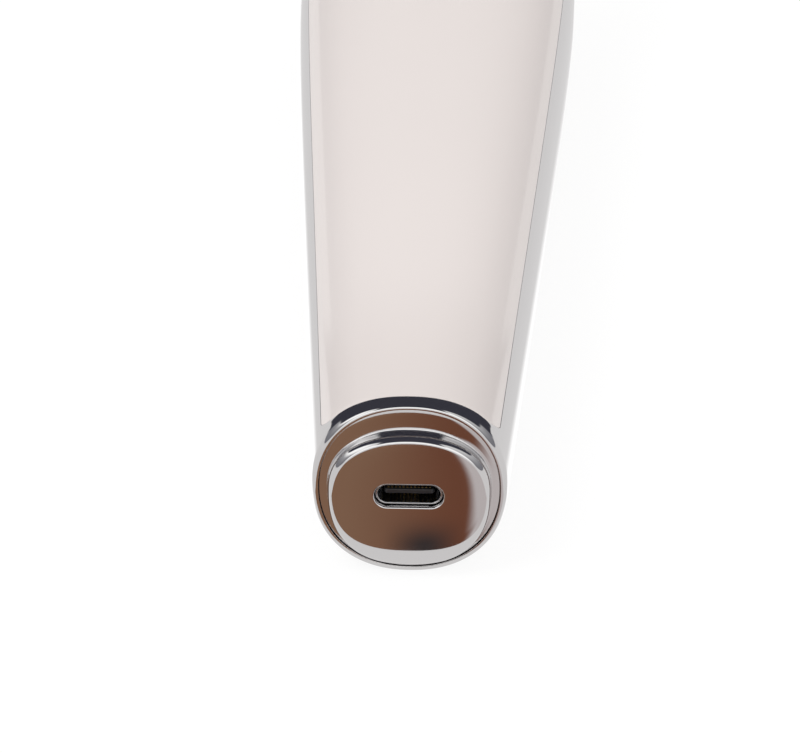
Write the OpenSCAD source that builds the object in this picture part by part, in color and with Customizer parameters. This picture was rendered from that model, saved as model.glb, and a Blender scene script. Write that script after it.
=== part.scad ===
// Facial massager: a tapered handle with a bent round treatment head.
// Millimetres. It lies on its back: Y runs from the foot to the head, Z is the front.

/* [Body] */
// Width of the foot sleeve
foot_w = 25.9; // [24:0.1:30]
// Depth of the foot sleeve, back to front
foot_d = 26.2; // [24:0.1:30]
// Width of the handle where it meets the neck
neck_w = 43.6; // [38:0.2:52]
// Depth of the handle where it meets the neck
neck_d = 30; // [27:0.5:34]
// Length of the straight handle, from the foot rim to the neck
handle_len = 141; // [138:1:170]
// Wall of the frame and of both covers
wall = 1.8; // [1.5:0.1:2.4]
// Fullness of the foot's cross-section: 2 is an ellipse, more is squarer
foot_fullness = 2.2; // [2:0.1:2.6]
// Fullness of the neck's cross-section
neck_fullness = 2.6; // [2.2:0.1:3]

/* [Head] */
// Radius of the round treatment head
head_r = 22.5; // [20:0.5:26]
// Angle that the head turns towards the front
head_tilt = 52; // [40:1:60]
// Radius of the neck's bend, along its middle
bend_r = 32; // [30:0.5:40]
// Length of the straight barrel behind the head's face
barrel_len = 4.5; // [4:0.5:8]
// Number of polished electrodes
electrodes_n = 4; // [3:1:5]
// Radius of one electrode
electrode_r = 3.4; // [2.5:0.1:3.8]
// Radius of the circle that the electrodes stand on
electrode_ring_r = 8.4; // [7.5:0.1:9]

/* [Covers] */
// Length of the foot sleeve in the middle of the front
sleeve_len = 2; // [1.6:0.1:4]
// How much further back the cover's lower corners lie
sleeve_sag = 1.4; // [0.5:0.1:4]
// Corner radius of a cover
cover_corner = 2.8; // [1.5:0.1:4]
// Height of a cover's edge above the middle plane, as a share of the half depth
cover_edge = 0.5; // [0.4:0.02:0.6]
// Gap round a cover
seam = 0.12; // [0.08:0.01:0.3]

/* [End cap] */
// Width of the end cap's ledge
cap_w = 24; // [22.6:0.1:24.2]
// Height of the end cap's ledge
cap_h = 24.2; // [23.6:0.1:24.4]
// Width of the raised plateau
plateau_w = 21.8; // [19:0.1:22.4]
// Top of the plateau above the end's centre
plateau_top = 8.9; // [7.5:0.1:9.5]
// Bottom of the plateau below the end's centre
plateau_bottom = 11.6; // [10:0.1:11.7]
// Height of the plateau
plateau_rise = 1.8; // [1.2:0.1:2.6]
// How deep the cap reaches into the sleeve
cap_skirt = 6; // [5:0.5:8]

/* [Socket] */
// Outer width of the metal shell of the charging socket
socket_w = 8.94; // [8.8:0.02:9.1]
// Outer height of the metal shell
socket_h = 3.2; // [3.1:0.02:3.3]
// Sheet of the metal shell
socket_wall = 0.3; // [0.25:0.05:0.35]
// How far the shell's mouth lies below the plateau
socket_recess = 0.6; // [0.4:0.1:1.2]
// Length of the shell
socket_len = 7.3; // [6.5:0.1:9]
// Gap between the shell and the cap's slot
socket_gap = 0.15; // [0.1:0.05:0.3]

/* [Controls] */
// Distance of the power button from the foot rim
power_y = 134.5; // [133:0.5:136]
// Radius of the power button
power_r = 4.6; // [4:0.1:5]
// Distance of the mode button from the foot rim
mode_y = 121; // [118:0.5:121.5]
// Radius of the mode button
mode_r = 3.4; // [3:0.1:3.6]
// How far a button travels
button_travel = 0.6; // [0.3:0.1:0.8]
// Gap round a button
button_gap = 0.3; // [0.25:0.05:0.5]
// How far a button stands out of the cover
button_proud = 0.5; // [0.2:0.1:0.8]
// Length of the indicator lens, across the body
lens_w = 8; // [5:0.5:10]
// Width of the indicator lens
lens_h = 1.4; // [1:0.1:1.6]

/* [Inside] */
// Radius of the battery cell
cell_r = 7; // [6:0.1:7.2]
// Length of the battery cell
cell_len = 50; // [40:1:55]
// Radius of the vibration motor
motor_r = 6; // [4:0.1:6.2]
// Length of the vibration motor's can
motor_len = 20; // [14:0.5:22]
// Radius of the motor's shaft
shaft_r = 0.75; // [0.5:0.05:1]
// Radial running gap of the shaft in its bearing
shaft_gap = 0.05; // [0.03:0.01:0.1]
// Thickness of the circuit boards
board_t = 1; // [0.8:0.1:1.6]
// Radius of the screws' threads
screw_r = 0.8; // [0.6:0.1:1]

/* [Hidden] */

ring_n = 48;
hull_fn = 32;
land_cut = 0.15;
small = 0.01;
wide = 80;

// Straight part: the half sizes grow evenly from the sleeve to the neck
edge_round = 0.7;
grow_w = (neck_w - foot_w) / 2 / handle_len;
grow_d = (neck_d - foot_d) / 2 / handle_len;
ease_len = 24;
function eased(y) = (y + handle_len - sqrt(pow(y - handle_len, 2) + pow(ease_len, 2))) / 2;
function half_w(y) = foot_w / 2 + grow_w * (eased(y) - eased(0)) * handle_len / (eased(handle_len) - eased(0));
function half_d(y) = foot_d / 2 + grow_d * y;
function axis_z(y) = half_d(y) - land_cut;
function front_z(y) = 2 * half_d(y) - land_cut;
foot_z = axis_z(0);
neck_z = axis_z(handle_len);

// A station is [y, z, tilt, half width, half depth, fullness] of one cross-section
function step5(t) = t * t * t * (10 - 15 * t + 6 * t * t);
function full(y) = foot_fullness + (neck_fullness - foot_fullness) * y / handle_len;
function straight(y) = [y, axis_z(y), 0, half_w(y), half_d(y), full(y)];
function rounded(y, cut) = [y, axis_z(y), 0, half_w(y) - cut, half_d(y) - cut, full(y)];
function bent(t) = let (a = t * head_tilt)
    [handle_len + bend_r * sin(a), neck_z + bend_r * (1 - cos(a)), a,
        half_w(handle_len) + (head_r - half_w(handle_len)) * step5(t),
        half_d(handle_len) + (head_r - half_d(handle_len)) * step5(t),
        neck_fullness + (2 - neck_fullness) * step5(t)];

function barrel(d) = let (b = bent(1))
    [b[0] + d * cos(b[2]), b[1] + d * sin(b[2]), b[2], b[3], b[4], b[5]];

collar_t = 0.92;
foot_rings = [[0, 1], [0.3, 0.45], [0.9, 0.1], [1.8, 0]];
handle_steps = 8;
neck_steps = 8;
handle_run = [for (i = [1:handle_steps]) straight(cap_skirt + (handle_len - cap_skirt) * i / handle_steps)];
neck_run = [for (i = [0:neck_steps]) bent(i / neck_steps)];
body_run = concat([for (r = foot_rings) rounded(r[0] * edge_round, r[1] * edge_round)],
    [straight(cap_skirt)], handle_run);
body_neck = concat(neck_run, [barrel(barrel_len)]);
cavity_run = concat([straight(cap_skirt)], handle_run);
cavity_neck = concat(neck_run, [barrel(barrel_len + 1)]);
cover_run = concat([straight(0)], handle_run);
cover_neck = [for (i = [0:neck_steps]) bent(collar_t * i / neck_steps)];

function signed(v, p) = sign(v) * pow(abs(v), p);
function oval(half_x, half_y, n, count, phase) = [for (i = [0:count - 1])
    let (t = (i + phase) * 360 / count) [half_x * signed(cos(t), 2 / n), half_y * signed(sin(t), 2 / n)]];
function in_space(st, p) = [p[0], st[0] - p[1] * sin(st[2]), st[1] + p[1] * cos(st[2])];
function ring(st, inset) = [for (p = oval(st[3] - inset, st[4] - inset, st[5], ring_n, 0.5)) in_space(st, p)];
function window(st, side, gap) = let (near = side * (st[4] * cover_edge + gap), far = side * (st[4] + 3),
        low = min(near, far), high = max(near, far))
    [for (p = [[-wide / 2, low], [wide / 2, low], [wide / 2, high], [-wide / 2, high]]) in_space(st, p)];

// Where the head sits, and the whole object's middle
face = barrel(barrel_len);
head_y = face[0];
head_z = face[1];
ring_h = 2.4;
ring_round = 1.1;
reach_y = head_y + (head_r - ring_round) * sin(head_tilt) + (ring_h - ring_round) * cos(head_tilt) + ring_round;
mid_y = (reach_y - plateau_rise) / 2;

// Head, measured out of the collar's end plane
skirt_d = 2;
skirt_t = 1.5;
fit = 0.1;
bezel_r = head_r - 3.9;
plate_r = 14.6;
led_board_top = -2.2;
head_base_t = 1.8;
plate_h = 2.2;
pin_r = 0.9;

// Controls
board_top = 20.6;
switch_h = 3;
switch_w = 6;
plunger_r = 1.6;
plunger_fit = 0.15;
plunger_sink = 1;
flange_t = 1;
flange_lip = 1;
flange_drop = 0.5;
lens_lip = 0.25;
lens_y = (power_y - power_r + mode_y + mode_r) / 2;
board_y0 = 82;
board_y1 = power_y + 6;
board_w = 24;

// Inside, from the foot to the neck
usb_board_y0 = socket_recess - plateau_rise + 1.6;
cell_z = 10.4;
cell_y0 = 27;
cradle_t = 1.4;
cradle_gap = 0.3;
seat_gap = 0.05;
deck_z = 4.4;
deck_t = 1.4;
deck_y0 = 14;
deck_y1 = handle_len - 4;
deck_w = 15;
motor_y0 = cell_y0 + cell_len + 12;
motor_z = 12;
weight_len = 7;
weight_r = motor_r - 0.8;

module place() {
    translate([0, -mid_y, 0])
    children();
}

module on_head() {
    translate([0, head_y, head_z])
    rotate([head_tilt, 0, 0])
    rotate([-90, 0, 0])
    children();
}

module span(low, high) {
    n = len(low);
    hull()
    polyhedron(
        points = concat(low, high),
        faces = concat([[for (i = [0:n - 1]) i]], [[for (i = [n - 1:-1:0]) n + i]],
            [for (i = [0:n - 1]) [i, n + i, n + (i + 1) % n, (i + 1) % n]]));
}

// A run of cross-sections that turn, as one closed solid
module sweep(rings) {
    n = len(rings[0]);
    last = len(rings) - 1;
    polyhedron(
        points = [for (r = rings, p = r) p],
        faces = concat([[for (i = [n - 1:-1:0]) i]], [[for (i = [0:n - 1]) last * n + i]],
            [for (k = [0:last - 1], i = [0:n - 1]) [k * n + i, k * n + (i + 1) % n, (k + 1) * n + (i + 1) % n]],
            [for (k = [0:last - 1], i = [0:n - 1]) [k * n + i, (k + 1) * n + (i + 1) % n, (k + 1) * n + i]]));
}

module loft(stations, neck, inset) {
    for (i = [0:len(stations) - 2])
        span(ring(stations[i], inset), ring(stations[i + 1], inset));
    sweep([for (s = neck) ring(s, inset)]);
}

// The space above (side 1) or below (side -1) a cover's edge, along the whole handle
module beyond_edge(side, gap) {
    for (i = [0:len(cover_run) - 2])
        span(window(cover_run[i], side, gap), window(cover_run[i + 1], side, gap));
    sweep([for (s = cover_neck) window(s, side, gap)]);
}

// Plan of a cover's lower end: an arch with rounded corners
function arch_y(x) = sleeve_len + sleeve_sag * pow(x / (foot_w / 2 - 1), 2);
module cover_plan(gap) {
    edge_x = foot_w / 2 - 0.9;
    c = cover_corner;
    arch = [for (i = [-6:6]) [i / 6 * (edge_x - c), arch_y(i / 6 * (edge_x - c)) + gap]];
    round_y = arch_y(edge_x - c) + gap;
    corner = [for (a = [15:15:90]) [edge_x - c + c * sin(a), round_y + 1.2 * c * (1 - cos(a))]];
    polygon(concat(arch, corner, [[wide / 2, round_y + 1.2 * c], [wide / 2, 300], [-wide / 2, 300]],
        [for (i = [len(corner) - 1:-1:0]) [-corner[i][0], corner[i][1]]]));
}

// The region that a cover fills, or with no gap the window that it lies in
module cover_zone(side, gap) {
    intersection() {
        beyond_edge(side, gap);
        translate([0, 0, -10])
        linear_extrude(height = 90)
        cover_plan(gap);
    }
}

module shell() {
    difference() {
        loft(body_run, body_neck, 0);
        loft(cavity_run, cavity_neck, wall);
        cap_prism(-1, cap_skirt, fit);
        translate([-wide / 2, -5, -10])
        cube([wide, 300, 10]);
    }
}

function cap_oval(gap) = oval(cap_w / 2 + gap, cap_h / 2 + gap, 2.15, 64, 0.5);
module cap_prism(y0, y1, gap) {
    translate([0, y1, foot_z])
    rotate([90, 0, 0])
    linear_extrude(height = y1 - y0)
    polygon(cap_oval(gap));
}

module side_frame() {
    place()
    color([0.8, 0.8, 0.82])
    difference() {
        shell();
        cover_zone(1, 0);
        cover_zone(-1, 0);
    }
}

module cover_half(side) {
    difference() {
        intersection() {
            shell();
            cover_zone(side, seam);
        }
        on_neck_end() children();
    }
}

// Clears the seam between a cover and the collar
module on_neck_end() {
    end = bent(collar_t);
    translate([0, end[0], end[1]])
    rotate([end[2], 0, 0])
    translate([-wide / 2, -seam, -wide / 2])
    cube([wide, 20, wide]);
}

module button_hole(y, r) {
    translate([0, y, front_z(y) - 6])
    cylinder(h = 12, r = r + button_gap, $fn = 64);
}

module lens_plan(gap) {
    hull()
    for (s = [-1, 1])
        translate([s * (lens_w - lens_h) / 2, 0])
        circle(r = lens_h / 2 + gap, $fn = hull_fn);
}

module front_cover() {
    place()
    color([0.9, 0.88, 0.86])
    difference() {
        cover_half(1);
        button_hole(power_y, power_r);
        button_hole(mode_y, mode_r);
        translate([0, lens_y, front_z(lens_y) - 6])
        linear_extrude(height = 12)
        lens_plan(fit);
    }
}

boss_r = 2.6;
boss_ys = [deck_y0 + 4, cell_y0 + cell_len + 5, deck_y1 - 6];
module back_cover() {
    place()
    color([0.88, 0.86, 0.84])
    union() {
        cover_half(-1);
        for (y = boss_ys)
            difference() {
                translate([0, y, wall - land_cut - 0.5])
                cylinder(h = deck_z - wall + land_cut + 0.5, r = boss_r, $fn = 32);
                translate([0, y, wall - land_cut])
                cylinder(h = deck_z, r = screw_r + fit, $fn = 24);
            }
    }
}

// One layer of the plateau, t from 0 at the ledge to 1 at the top
function fillet(t) = 1 - sqrt(1 - t * t);
function plateau_ring(t, dome) = let (side = plateau_w / 2 - 1.1 * fillet(t) - dome * 3,
        top = plateau_top - 0.9 * fillet(t) - dome * 3,
        bottom = plateau_bottom - 3.5 * fillet(t) - dome * 3,
        y = -plateau_rise * 0.94 * t - dome * plateau_rise * 0.06)
    [for (i = [0:47]) let (a = (i + 0.5) * 7.5, s = sin(a))
        [side * signed(cos(a), 2 / 2.3), y, foot_z + (s > 0 ? top * signed(s, 2 / 2.1) : bottom * signed(s, 2 / 2.6))]];

slot_bevel = 0.18;
seal_y = cap_skirt - 2.6;
seal_t = 1.2;
seal_depth = 0.7;
module slot_plan(gap) {
    hull()
    for (s = [-1, 1])
        translate([s * (socket_w - socket_h) / 2, 0])
        circle(r = socket_h / 2 + gap, $fn = 40);
}

module slot(y0, y1, gap) {
    translate([0, y1, foot_z])
    rotate([90, 0, 0])
    linear_extrude(height = y1 - y0)
    slot_plan(gap);
}

module end_cap() {
    steps = [0, 0.3, 0.55, 0.75, 0.9, 0.97, 1];
    lip = 0.35;
    place()
    color([0.72, 0.7, 0.7])
    difference() {
        union() {
            cap_prism(lip, cap_skirt - fit, 0);
            for (i = [0:len(steps) - 2])
                span(plateau_ring(steps[i], 0), plateau_ring(steps[i + 1], 0));
            span(plateau_ring(1, 0), plateau_ring(1, 1));
            span([for (p = plateau_ring(0, 0)) p + [0, 1, 0]], plateau_ring(0, 0));
        }
        slot(-5, 10, socket_gap);
        // The thin bevel round the slot
        hull() {
            slot(-plateau_rise - small, -plateau_rise, socket_gap + slot_bevel);
            slot(-plateau_rise + slot_bevel, -plateau_rise + slot_bevel + small, socket_gap);
        }
        // The groove of the seal
        difference() {
            cap_prism(seal_y, seal_y + seal_t, 1);
            cap_prism(seal_y - 1, seal_y + seal_t + 1, -seal_depth);
        }
        // The hollow behind the face, open to the back
        difference() {
            cap_prism(1.6, cap_skirt + 1, -1.8);
            slot(1, cap_skirt, socket_gap + 1.2);
        }
    }
}

module end_cap_seal() {
    place()
    color([0.3, 0.3, 0.32])
    difference() {
        cap_prism(seal_y + seat_gap, seal_y + seal_t - seat_gap, fit - 0.03);
        cap_prism(seal_y - 1, seal_y + seal_t + 1, seat_gap - seal_depth);
    }
}

mouth_y = socket_recess - plateau_rise;
module usb_socket() {
    place()
    color([0.75, 0.75, 0.77])
    difference() {
        slot(mouth_y, mouth_y + socket_len, 0);
        slot(mouth_y - 1, mouth_y + socket_len - 1, -socket_wall);
    }
}

tongue_w = 6.69;
tongue_t = 0.7;
tongue_y0 = mouth_y + 0.7;
tongue_y1 = mouth_y + socket_len - 1;
module usb_tongue() {
    place()
    color([0.15, 0.15, 0.16])
    union() {
        translate([-tongue_w / 2, tongue_y0, foot_z - tongue_t / 2])
        cube([tongue_w, tongue_y1 - tongue_y0, tongue_t]);
        slot(tongue_y1 - 1.2, tongue_y1, -socket_wall - small);
    }
}

contact_n = 12;
contact_pitch = 0.5;
contact_t = 0.08;
module usb_contacts() {
    place()
    color([0.85, 0.7, 0.35])
    for (i = [0:contact_n - 1], s = [-1, 1])
        translate([(i - (contact_n - 1) / 2) * contact_pitch - 0.13, tongue_y0 + 0.4,
            foot_z + (s > 0 ? tongue_t / 2 : -tongue_t / 2 - contact_t)])
        cube([0.26, 3.2, contact_t]);
}

usb_board_w = 15;
usb_board_len = 15;
usb_board_top = foot_z - socket_h / 2;
module usb_board() {
    place()
    color([0.1, 0.35, 0.2])
    difference() {
        translate([-usb_board_w / 2, cap_skirt + 1, usb_board_top - board_t])
        cube([usb_board_w, usb_board_len, board_t]);
        translate([0, boss_ys[0], usb_board_top - 2 * board_t])
        cylinder(h = 3 * board_t, r = screw_r + fit, $fn = 32);
    }
}

post_r = 2;
post_ys = [board_y0 + 4, board_y1 - 4];
post_x = board_w / 2 - 3;
module chassis() {
    place()
    color([0.55, 0.56, 0.58])
    difference() {
        union() {
            // Deck on the back cover's bosses
            translate([-deck_w / 2, deck_y0, deck_z])
            cube([deck_w, deck_y1 - deck_y0, deck_t]);
            // Cradle round the lower half of the cell
            translate([0, cell_y0 - cradle_t - cradle_gap, cell_z])
            rotate([-90, 0, 0])
            cylinder(h = cell_len + 2 * cradle_t + 2 * cradle_gap, r = cell_r + cradle_gap + cradle_t, $fn = 64);
            // Post under the socket's board
            translate([0, boss_ys[0], deck_z])
            cylinder(h = usb_board_top - board_t - deck_z, r = post_r + 0.6, $fn = 40);
            // Posts under the main board
            for (y = post_ys, s = [-1, 1]) {
                translate([s * post_x, y, deck_z])
                cylinder(h = board_top - board_t - deck_z, r = post_r, $fn = 40);
                translate([s > 0 ? 0 : -post_x, y - post_r, deck_z])
                cube([post_x, 2 * post_r, deck_t]);
            }
            // Saddle under the motor
            translate([-motor_r, motor_y0 + 2, deck_z])
            cube([2 * motor_r, motor_len - 4, motor_z - deck_z - 1]);
        }
        // Room for the cell, open at the front
        translate([0, cell_y0 - cradle_gap, cell_z])
        rotate([-90, 0, 0])
        cylinder(h = cell_len + 2 * cradle_gap, r = cell_r + cradle_gap, $fn = 64);
        translate([-wide / 2, cell_y0 - 10, cell_z + 2])
        cube([wide, cell_len + 20, 40]);
        // Trim below the deck
        translate([-wide / 2, cell_y0 - 10, deck_z - 20])
        cube([wide, cell_len + 20, 20 - 1.2]);
        // Bed for the motor's sleeve
        translate([0, motor_y0, motor_z])
        rotate([-90, 0, 0])
        cylinder(h = motor_len, r = motor_r + sleeve_t + seat_gap, $fn = 64);
        for (y = boss_ys)
            translate([0, y, 0])
            cylinder(h = 40, r = screw_r + fit, $fn = 32);
        for (y = post_ys, s = [-1, 1])
            translate([s * post_x, y, board_top - 8])
            cylinder(h = 10, r = screw_r, $fn = 32);
    }
}

sleeve_t = 1;
head_screw_r = 1.5;
module screw(len) {
    cylinder(h = head_screw_r * 0.7, r = head_screw_r, $fn = 32);
    translate([0, 0, -len])
    cylinder(h = len + small, r = screw_r, $fn = 32);
}

module chassis_screws() {
    place()
    color([0.6, 0.6, 0.62]) {
        for (i = [1, 2])
            translate([0, boss_ys[i], deck_z + deck_t])
            screw(deck_t + deck_z - wall - 0.5);
        translate([0, boss_ys[0], usb_board_top])
        screw(usb_board_top - wall - 0.5);
    }
}

module battery() {
    place()
    color([0.2, 0.35, 0.6])
    translate([0, cell_y0, cell_z])
    rotate([-90, 0, 0])
    union() {
        cylinder(h = cell_len - 1, r = cell_r, $fn = 64);
        cylinder(h = cell_len - 0.4, r = 2.6, $fn = 48);
    }
}

tab_t = 0.2;
module battery_tabs() {
    place()
    color([0.75, 0.74, 0.7]) {
        translate([-2, cell_y0 + cell_len - 0.4, cell_z - 2])
        cube([4, tab_t, cell_r + 4]);
        translate([-2, cell_y0 - tab_t, cell_z - 2])
        cube([4, tab_t, cell_r + 4]);
    }
}

module main_board() {
    place()
    color([0.1, 0.35, 0.2])
    difference() {
        union() {
            translate([-board_w / 2, board_y0, board_top - board_t])
            cube([board_w, board_y1 - board_y0, board_t]);
            // Controller chip and coil
            translate([-4, board_y0 + 12, board_top])
            cube([8, 8, 1.2]);
            translate([0, board_y0 + 5, board_top])
            cylinder(h = 2, r = 2.5, $fn = 32);
        }
        for (y = post_ys, s = [-1, 1])
            translate([s * post_x, y, board_top - 2 * board_t])
            cylinder(h = 3 * board_t, r = screw_r + fit, $fn = 32);
    }
}

module board_screws() {
    place()
    color([0.6, 0.6, 0.62])
    for (y = post_ys, s = [-1, 1])
        translate([s * post_x, y, board_top])
        screw(5);
}

// Cap, flange and stem of a button that is pressed straight in
module button(y, r) {
    top = front_z(y) + button_proud;
    under = front_z(y) - wall - flange_drop;
    crown = 0.5;
    translate([0, y, 0])
    union() {
        translate([0, 0, under - small])
        cylinder(h = top - crown - under + small, r = r, $fn = 96);
        translate([0, 0, top - crown])
        rotate_extrude($fn = 96)
        polygon(concat([[0, 0]], [for (a = [0:15:90]) [r - crown + crown * cos(a), crown * sin(a)]],
            [[0, crown]]));
        translate([0, 0, under - flange_t])
        cylinder(h = flange_t, r = r + flange_lip, $fn = 96);
        translate([0, 0, board_top + switch_h + 0.6])
        cylinder(h = under - board_top - switch_h - 0.6, r = 1.8, $fn = 48);
    }
}

module power_button() {
    place()
    color([0.85, 0.85, 0.87])
    button(power_y, power_r);
}

module mode_button() {
    place()
    color([0.85, 0.85, 0.87])
    button(mode_y, mode_r);
}

module switch(y) {
    translate([0, y, board_top])
    difference() {
        translate([-switch_w / 2, -switch_w / 2, 0])
        cube([switch_w, switch_w, switch_h]);
        translate([0, 0, switch_h - plunger_sink - button_travel])
        cylinder(h = 5, r = plunger_r + plunger_fit, $fn = 48);
    }
}

module plunger(y) {
    translate([0, y, board_top + switch_h - plunger_sink + 0.2])
    cylinder(h = plunger_sink + 0.4, r = plunger_r, $fn = 48);
}

module power_switch() {
    place()
    color([0.2, 0.2, 0.22])
    switch(power_y);
}

module power_switch_plunger() {
    place()
    color([0.9, 0.9, 0.9])
    plunger(power_y);
}

module mode_switch() {
    place()
    color([0.2, 0.2, 0.22])
    switch(mode_y);
}

module mode_switch_plunger() {
    place()
    color([0.9, 0.9, 0.9])
    plunger(mode_y);
}

led_h = 0.8;
module indicator_lens() {
    foot = board_top + led_h + 0.2;
    top = front_z(lens_y) + 0.05;
    place()
    color([0.95, 0.95, 1])
    translate([0, lens_y, foot])
    union() {
        linear_extrude(height = top - foot)
        lens_plan(0);
        translate([0, 0, front_z(lens_y) - wall - 1.2 - foot])
        linear_extrude(height = 1)
        lens_plan(lens_lip);
    }
}

module indicator_leds() {
    place()
    color([0.95, 0.9, 0.6])
    for (i = [-1:1])
        translate([i * 2.4 - 0.6, lens_y - 0.4, board_top])
        cube([1.2, 0.8, led_h]);
}

nose_r = 2.4;
nose_len = 1.6;
module vibration_motor() {
    place()
    color([0.7, 0.7, 0.72])
    translate([0, motor_y0, motor_z])
    rotate([-90, 0, 0])
    difference() {
        union() {
            cylinder(h = motor_len, r = motor_r, $fn = 64);
            translate([0, 0, motor_len - small])
            cylinder(h = nose_len + small, r = nose_r, $fn = 48);
        }
        translate([0, 0, motor_len - 8])
        cylinder(h = 8 + nose_len + 1, r = shaft_r + shaft_gap, $fn = 48);
    }
}

module motor_shaft() {
    place()
    color([0.6, 0.6, 0.62])
    translate([0, motor_y0 + motor_len - 7, motor_z])
    rotate([-90, 0, 0])
    cylinder(h = 7 + nose_len + 0.5 + weight_len + 0.6, r = shaft_r, $fn = 48);
}

module motor_weight() {
    place()
    color([0.5, 0.48, 0.45])
    translate([0, motor_y0 + motor_len + nose_len + 0.5, motor_z])
    rotate([-90, 0, 0])
    difference() {
        union() {
            cylinder(h = weight_len, r = 1.7, $fn = 48);
            difference() {
                cylinder(h = weight_len, r = weight_r, $fn = 64);
                translate([-wide / 2, 0.4 - wide, -1])
                cube([wide, wide, wide]);
            }
        }
        translate([0, 0, -1])
        cylinder(h = weight_len + 2, r = shaft_r, $fn = 48);
    }
}

module motor_sleeve() {
    place()
    color([0.25, 0.25, 0.27])
    translate([0, motor_y0 + 1, motor_z])
    rotate([-90, 0, 0])
    difference() {
        cylinder(h = motor_len - 2, r = motor_r + sleeve_t, $fn = 64);
        translate([0, 0, -1])
        cylinder(h = motor_len, r = motor_r, $fn = 64);
    }
}

module head_ring() {
    f = ring_round;
    skirt_r = head_r - wall - fit;
    place()
    color([0.8, 0.8, 0.82])
    on_head()
    translate([0, 0, small])
    rotate_extrude($fn = 128)
    polygon(concat([[bezel_r, 0], [skirt_r - skirt_t, 0], [skirt_r - skirt_t, -skirt_d], [skirt_r, -skirt_d],
        [skirt_r, 0], [head_r, 0]],
        [for (a = [0:15:90]) [head_r - f + f * cos(a), ring_h - f + f * sin(a)]],
        [[bezel_r + 0.6, ring_h], [bezel_r, ring_h - 0.6]]));
}

module light_ring() {
    place()
    color([0.95, 0.95, 0.98])
    on_head()
    rotate_extrude($fn = 128)
    polygon([[plate_r + fit, -0.4], [bezel_r - fit, -0.4], [bezel_r - fit, ring_h - 0.9], [bezel_r - 0.8, ring_h - 0.6],
        [plate_r + fit, ring_h - 0.4]]);
}

module each_electrode() {
    for (i = [0:electrodes_n - 1])
        rotate([0, 0, (i + 0.5) * 360 / electrodes_n])
        translate([electrode_ring_r, 0, 0])
        children();
}

module head_plate() {
    place()
    color([0.93, 0.92, 0.9])
    on_head()
    difference() {
        rotate_extrude($fn = 128)
        polygon(concat([[0, -0.4], [plate_r, -0.4], [plate_r, plate_h - 0.4]],
            [for (i = [8:-1:0]) [plate_r * i / 8.4, plate_h + 0.5 * (1 - pow(i / 8.4, 2))]]));
        each_electrode()
        translate([0, 0, -2])
        cylinder(h = 8, r = electrode_r + fit, $fn = 64);
    }
}

electrode_rise = 1.4;
module electrodes() {
    cap_h2 = 0.9;
    dome_r = (pow(electrode_r, 2) + pow(cap_h2, 2)) / (2 * cap_h2);
    top = plate_h + electrode_rise;
    place()
    color([0.85, 0.85, 0.86])
    on_head()
    each_electrode()
    rotate_extrude($fn = 64)
    polygon(concat([[0, -0.4], [electrode_r, -0.4], [electrode_r, top - cap_h2]],
        [for (i = [1:6]) let (x = electrode_r * (1 - i / 6)) [x, top - dome_r + sqrt(dome_r * dome_r - x * x)]]));
}

module head_base() {
    r = head_r - wall - fit;
    place()
    color([0.6, 0.6, 0.62])
    on_head()
    translate([0, 0, led_board_top - board_t - head_base_t])
    difference() {
        cylinder(h = head_base_t, r = r, $fn = 96);
        translate([0, 0, -1])
        cylinder(h = head_base_t + 2, r = 4, $fn = 48);
        each_screw()
        cylinder(h = 20, r = screw_r, $fn = 32);
    }
}

module head_seal() {
    r = head_r - wall - fit;
    place()
    color([0.3, 0.3, 0.32])
    on_head()
    translate([0, 0, led_board_top - board_t])
    difference() {
        cylinder(h = -led_board_top + board_t - skirt_d, r = r, $fn = 96);
        translate([0, 0, -1])
        cylinder(h = 9, r = r - 1.2, $fn = 96);
    }
}

module each_screw() {
    for (i = [0:2])
        rotate([0, 0, i * 120 + 30])
        translate([head_r - wall - 4.6, 0, 0])
        children();
}

module led_board() {
    r = head_r - wall - fit - 1.4;
    place()
    color([0.92, 0.92, 0.9])
    on_head()
    translate([0, 0, led_board_top - board_t])
    difference() {
        cylinder(h = board_t, r = r, $fn = 96);
        translate([0, 0, -1])
        cylinder(h = board_t + 2, r = 4, $fn = 48);
        each_screw()
        translate([0, 0, -1])
        cylinder(h = board_t + 2, r = screw_r + fit, $fn = 32);
    }
}

led_n = 12;
module led_chips() {
    place()
    color([0.95, 0.9, 0.5])
    on_head()
    for (i = [0:led_n - 1])
        rotate([0, 0, (i + 0.5) * 360 / led_n + 0])
        translate([14.2, -1, led_board_top])
        cube([1.6, 2, led_h]);
}

module contact_pins() {
    place()
    color([0.85, 0.7, 0.35])
    on_head()
    each_electrode()
    translate([0, 0, led_board_top])
    union() {
        cylinder(h = 1, r = pin_r + 0.4, $fn = 32);
        cylinder(h = -led_board_top - 0.4, r = pin_r, $fn = 32);
    }
}

module head_screws() {
    place()
    color([0.6, 0.6, 0.62])
    on_head()
    each_screw()
    translate([0, 0, led_board_top])
    screw(board_t + head_base_t - 0.4);
}

side_frame();
front_cover();
back_cover();
end_cap();
end_cap_seal();
usb_socket();
usb_tongue();
usb_contacts();
usb_board();
chassis();
chassis_screws();
battery();
battery_tabs();
main_board();
board_screws();
power_button();
power_switch();
power_switch_plunger();
mode_button();
mode_switch();
mode_switch_plunger();
indicator_lens();
indicator_leds();
vibration_motor();
motor_shaft();
motor_weight();
motor_sleeve();
head_ring();
light_ring();
head_plate();
electrodes();
head_base();
head_seal();
led_board();
led_chips();
contact_pins();
head_screws();
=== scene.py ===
"""Facial massager: a tapered handle with a bent round treatment head, lying on its back.

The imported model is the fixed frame. The pieces that show are modelled here over it, and each of
them and each carried-over node gets its finish. Sizes are millimetres on the device, where Y runs
from the foot rim to the head and Z out of the front. Finished meshes are in metres.
"""

import functools
import logging
import math
from dataclasses import dataclass, field, replace
from enum import Enum
from typing import Callable, NamedTuple, Sequence

import bmesh
import bpy
from mathutils import Matrix, Vector

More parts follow.
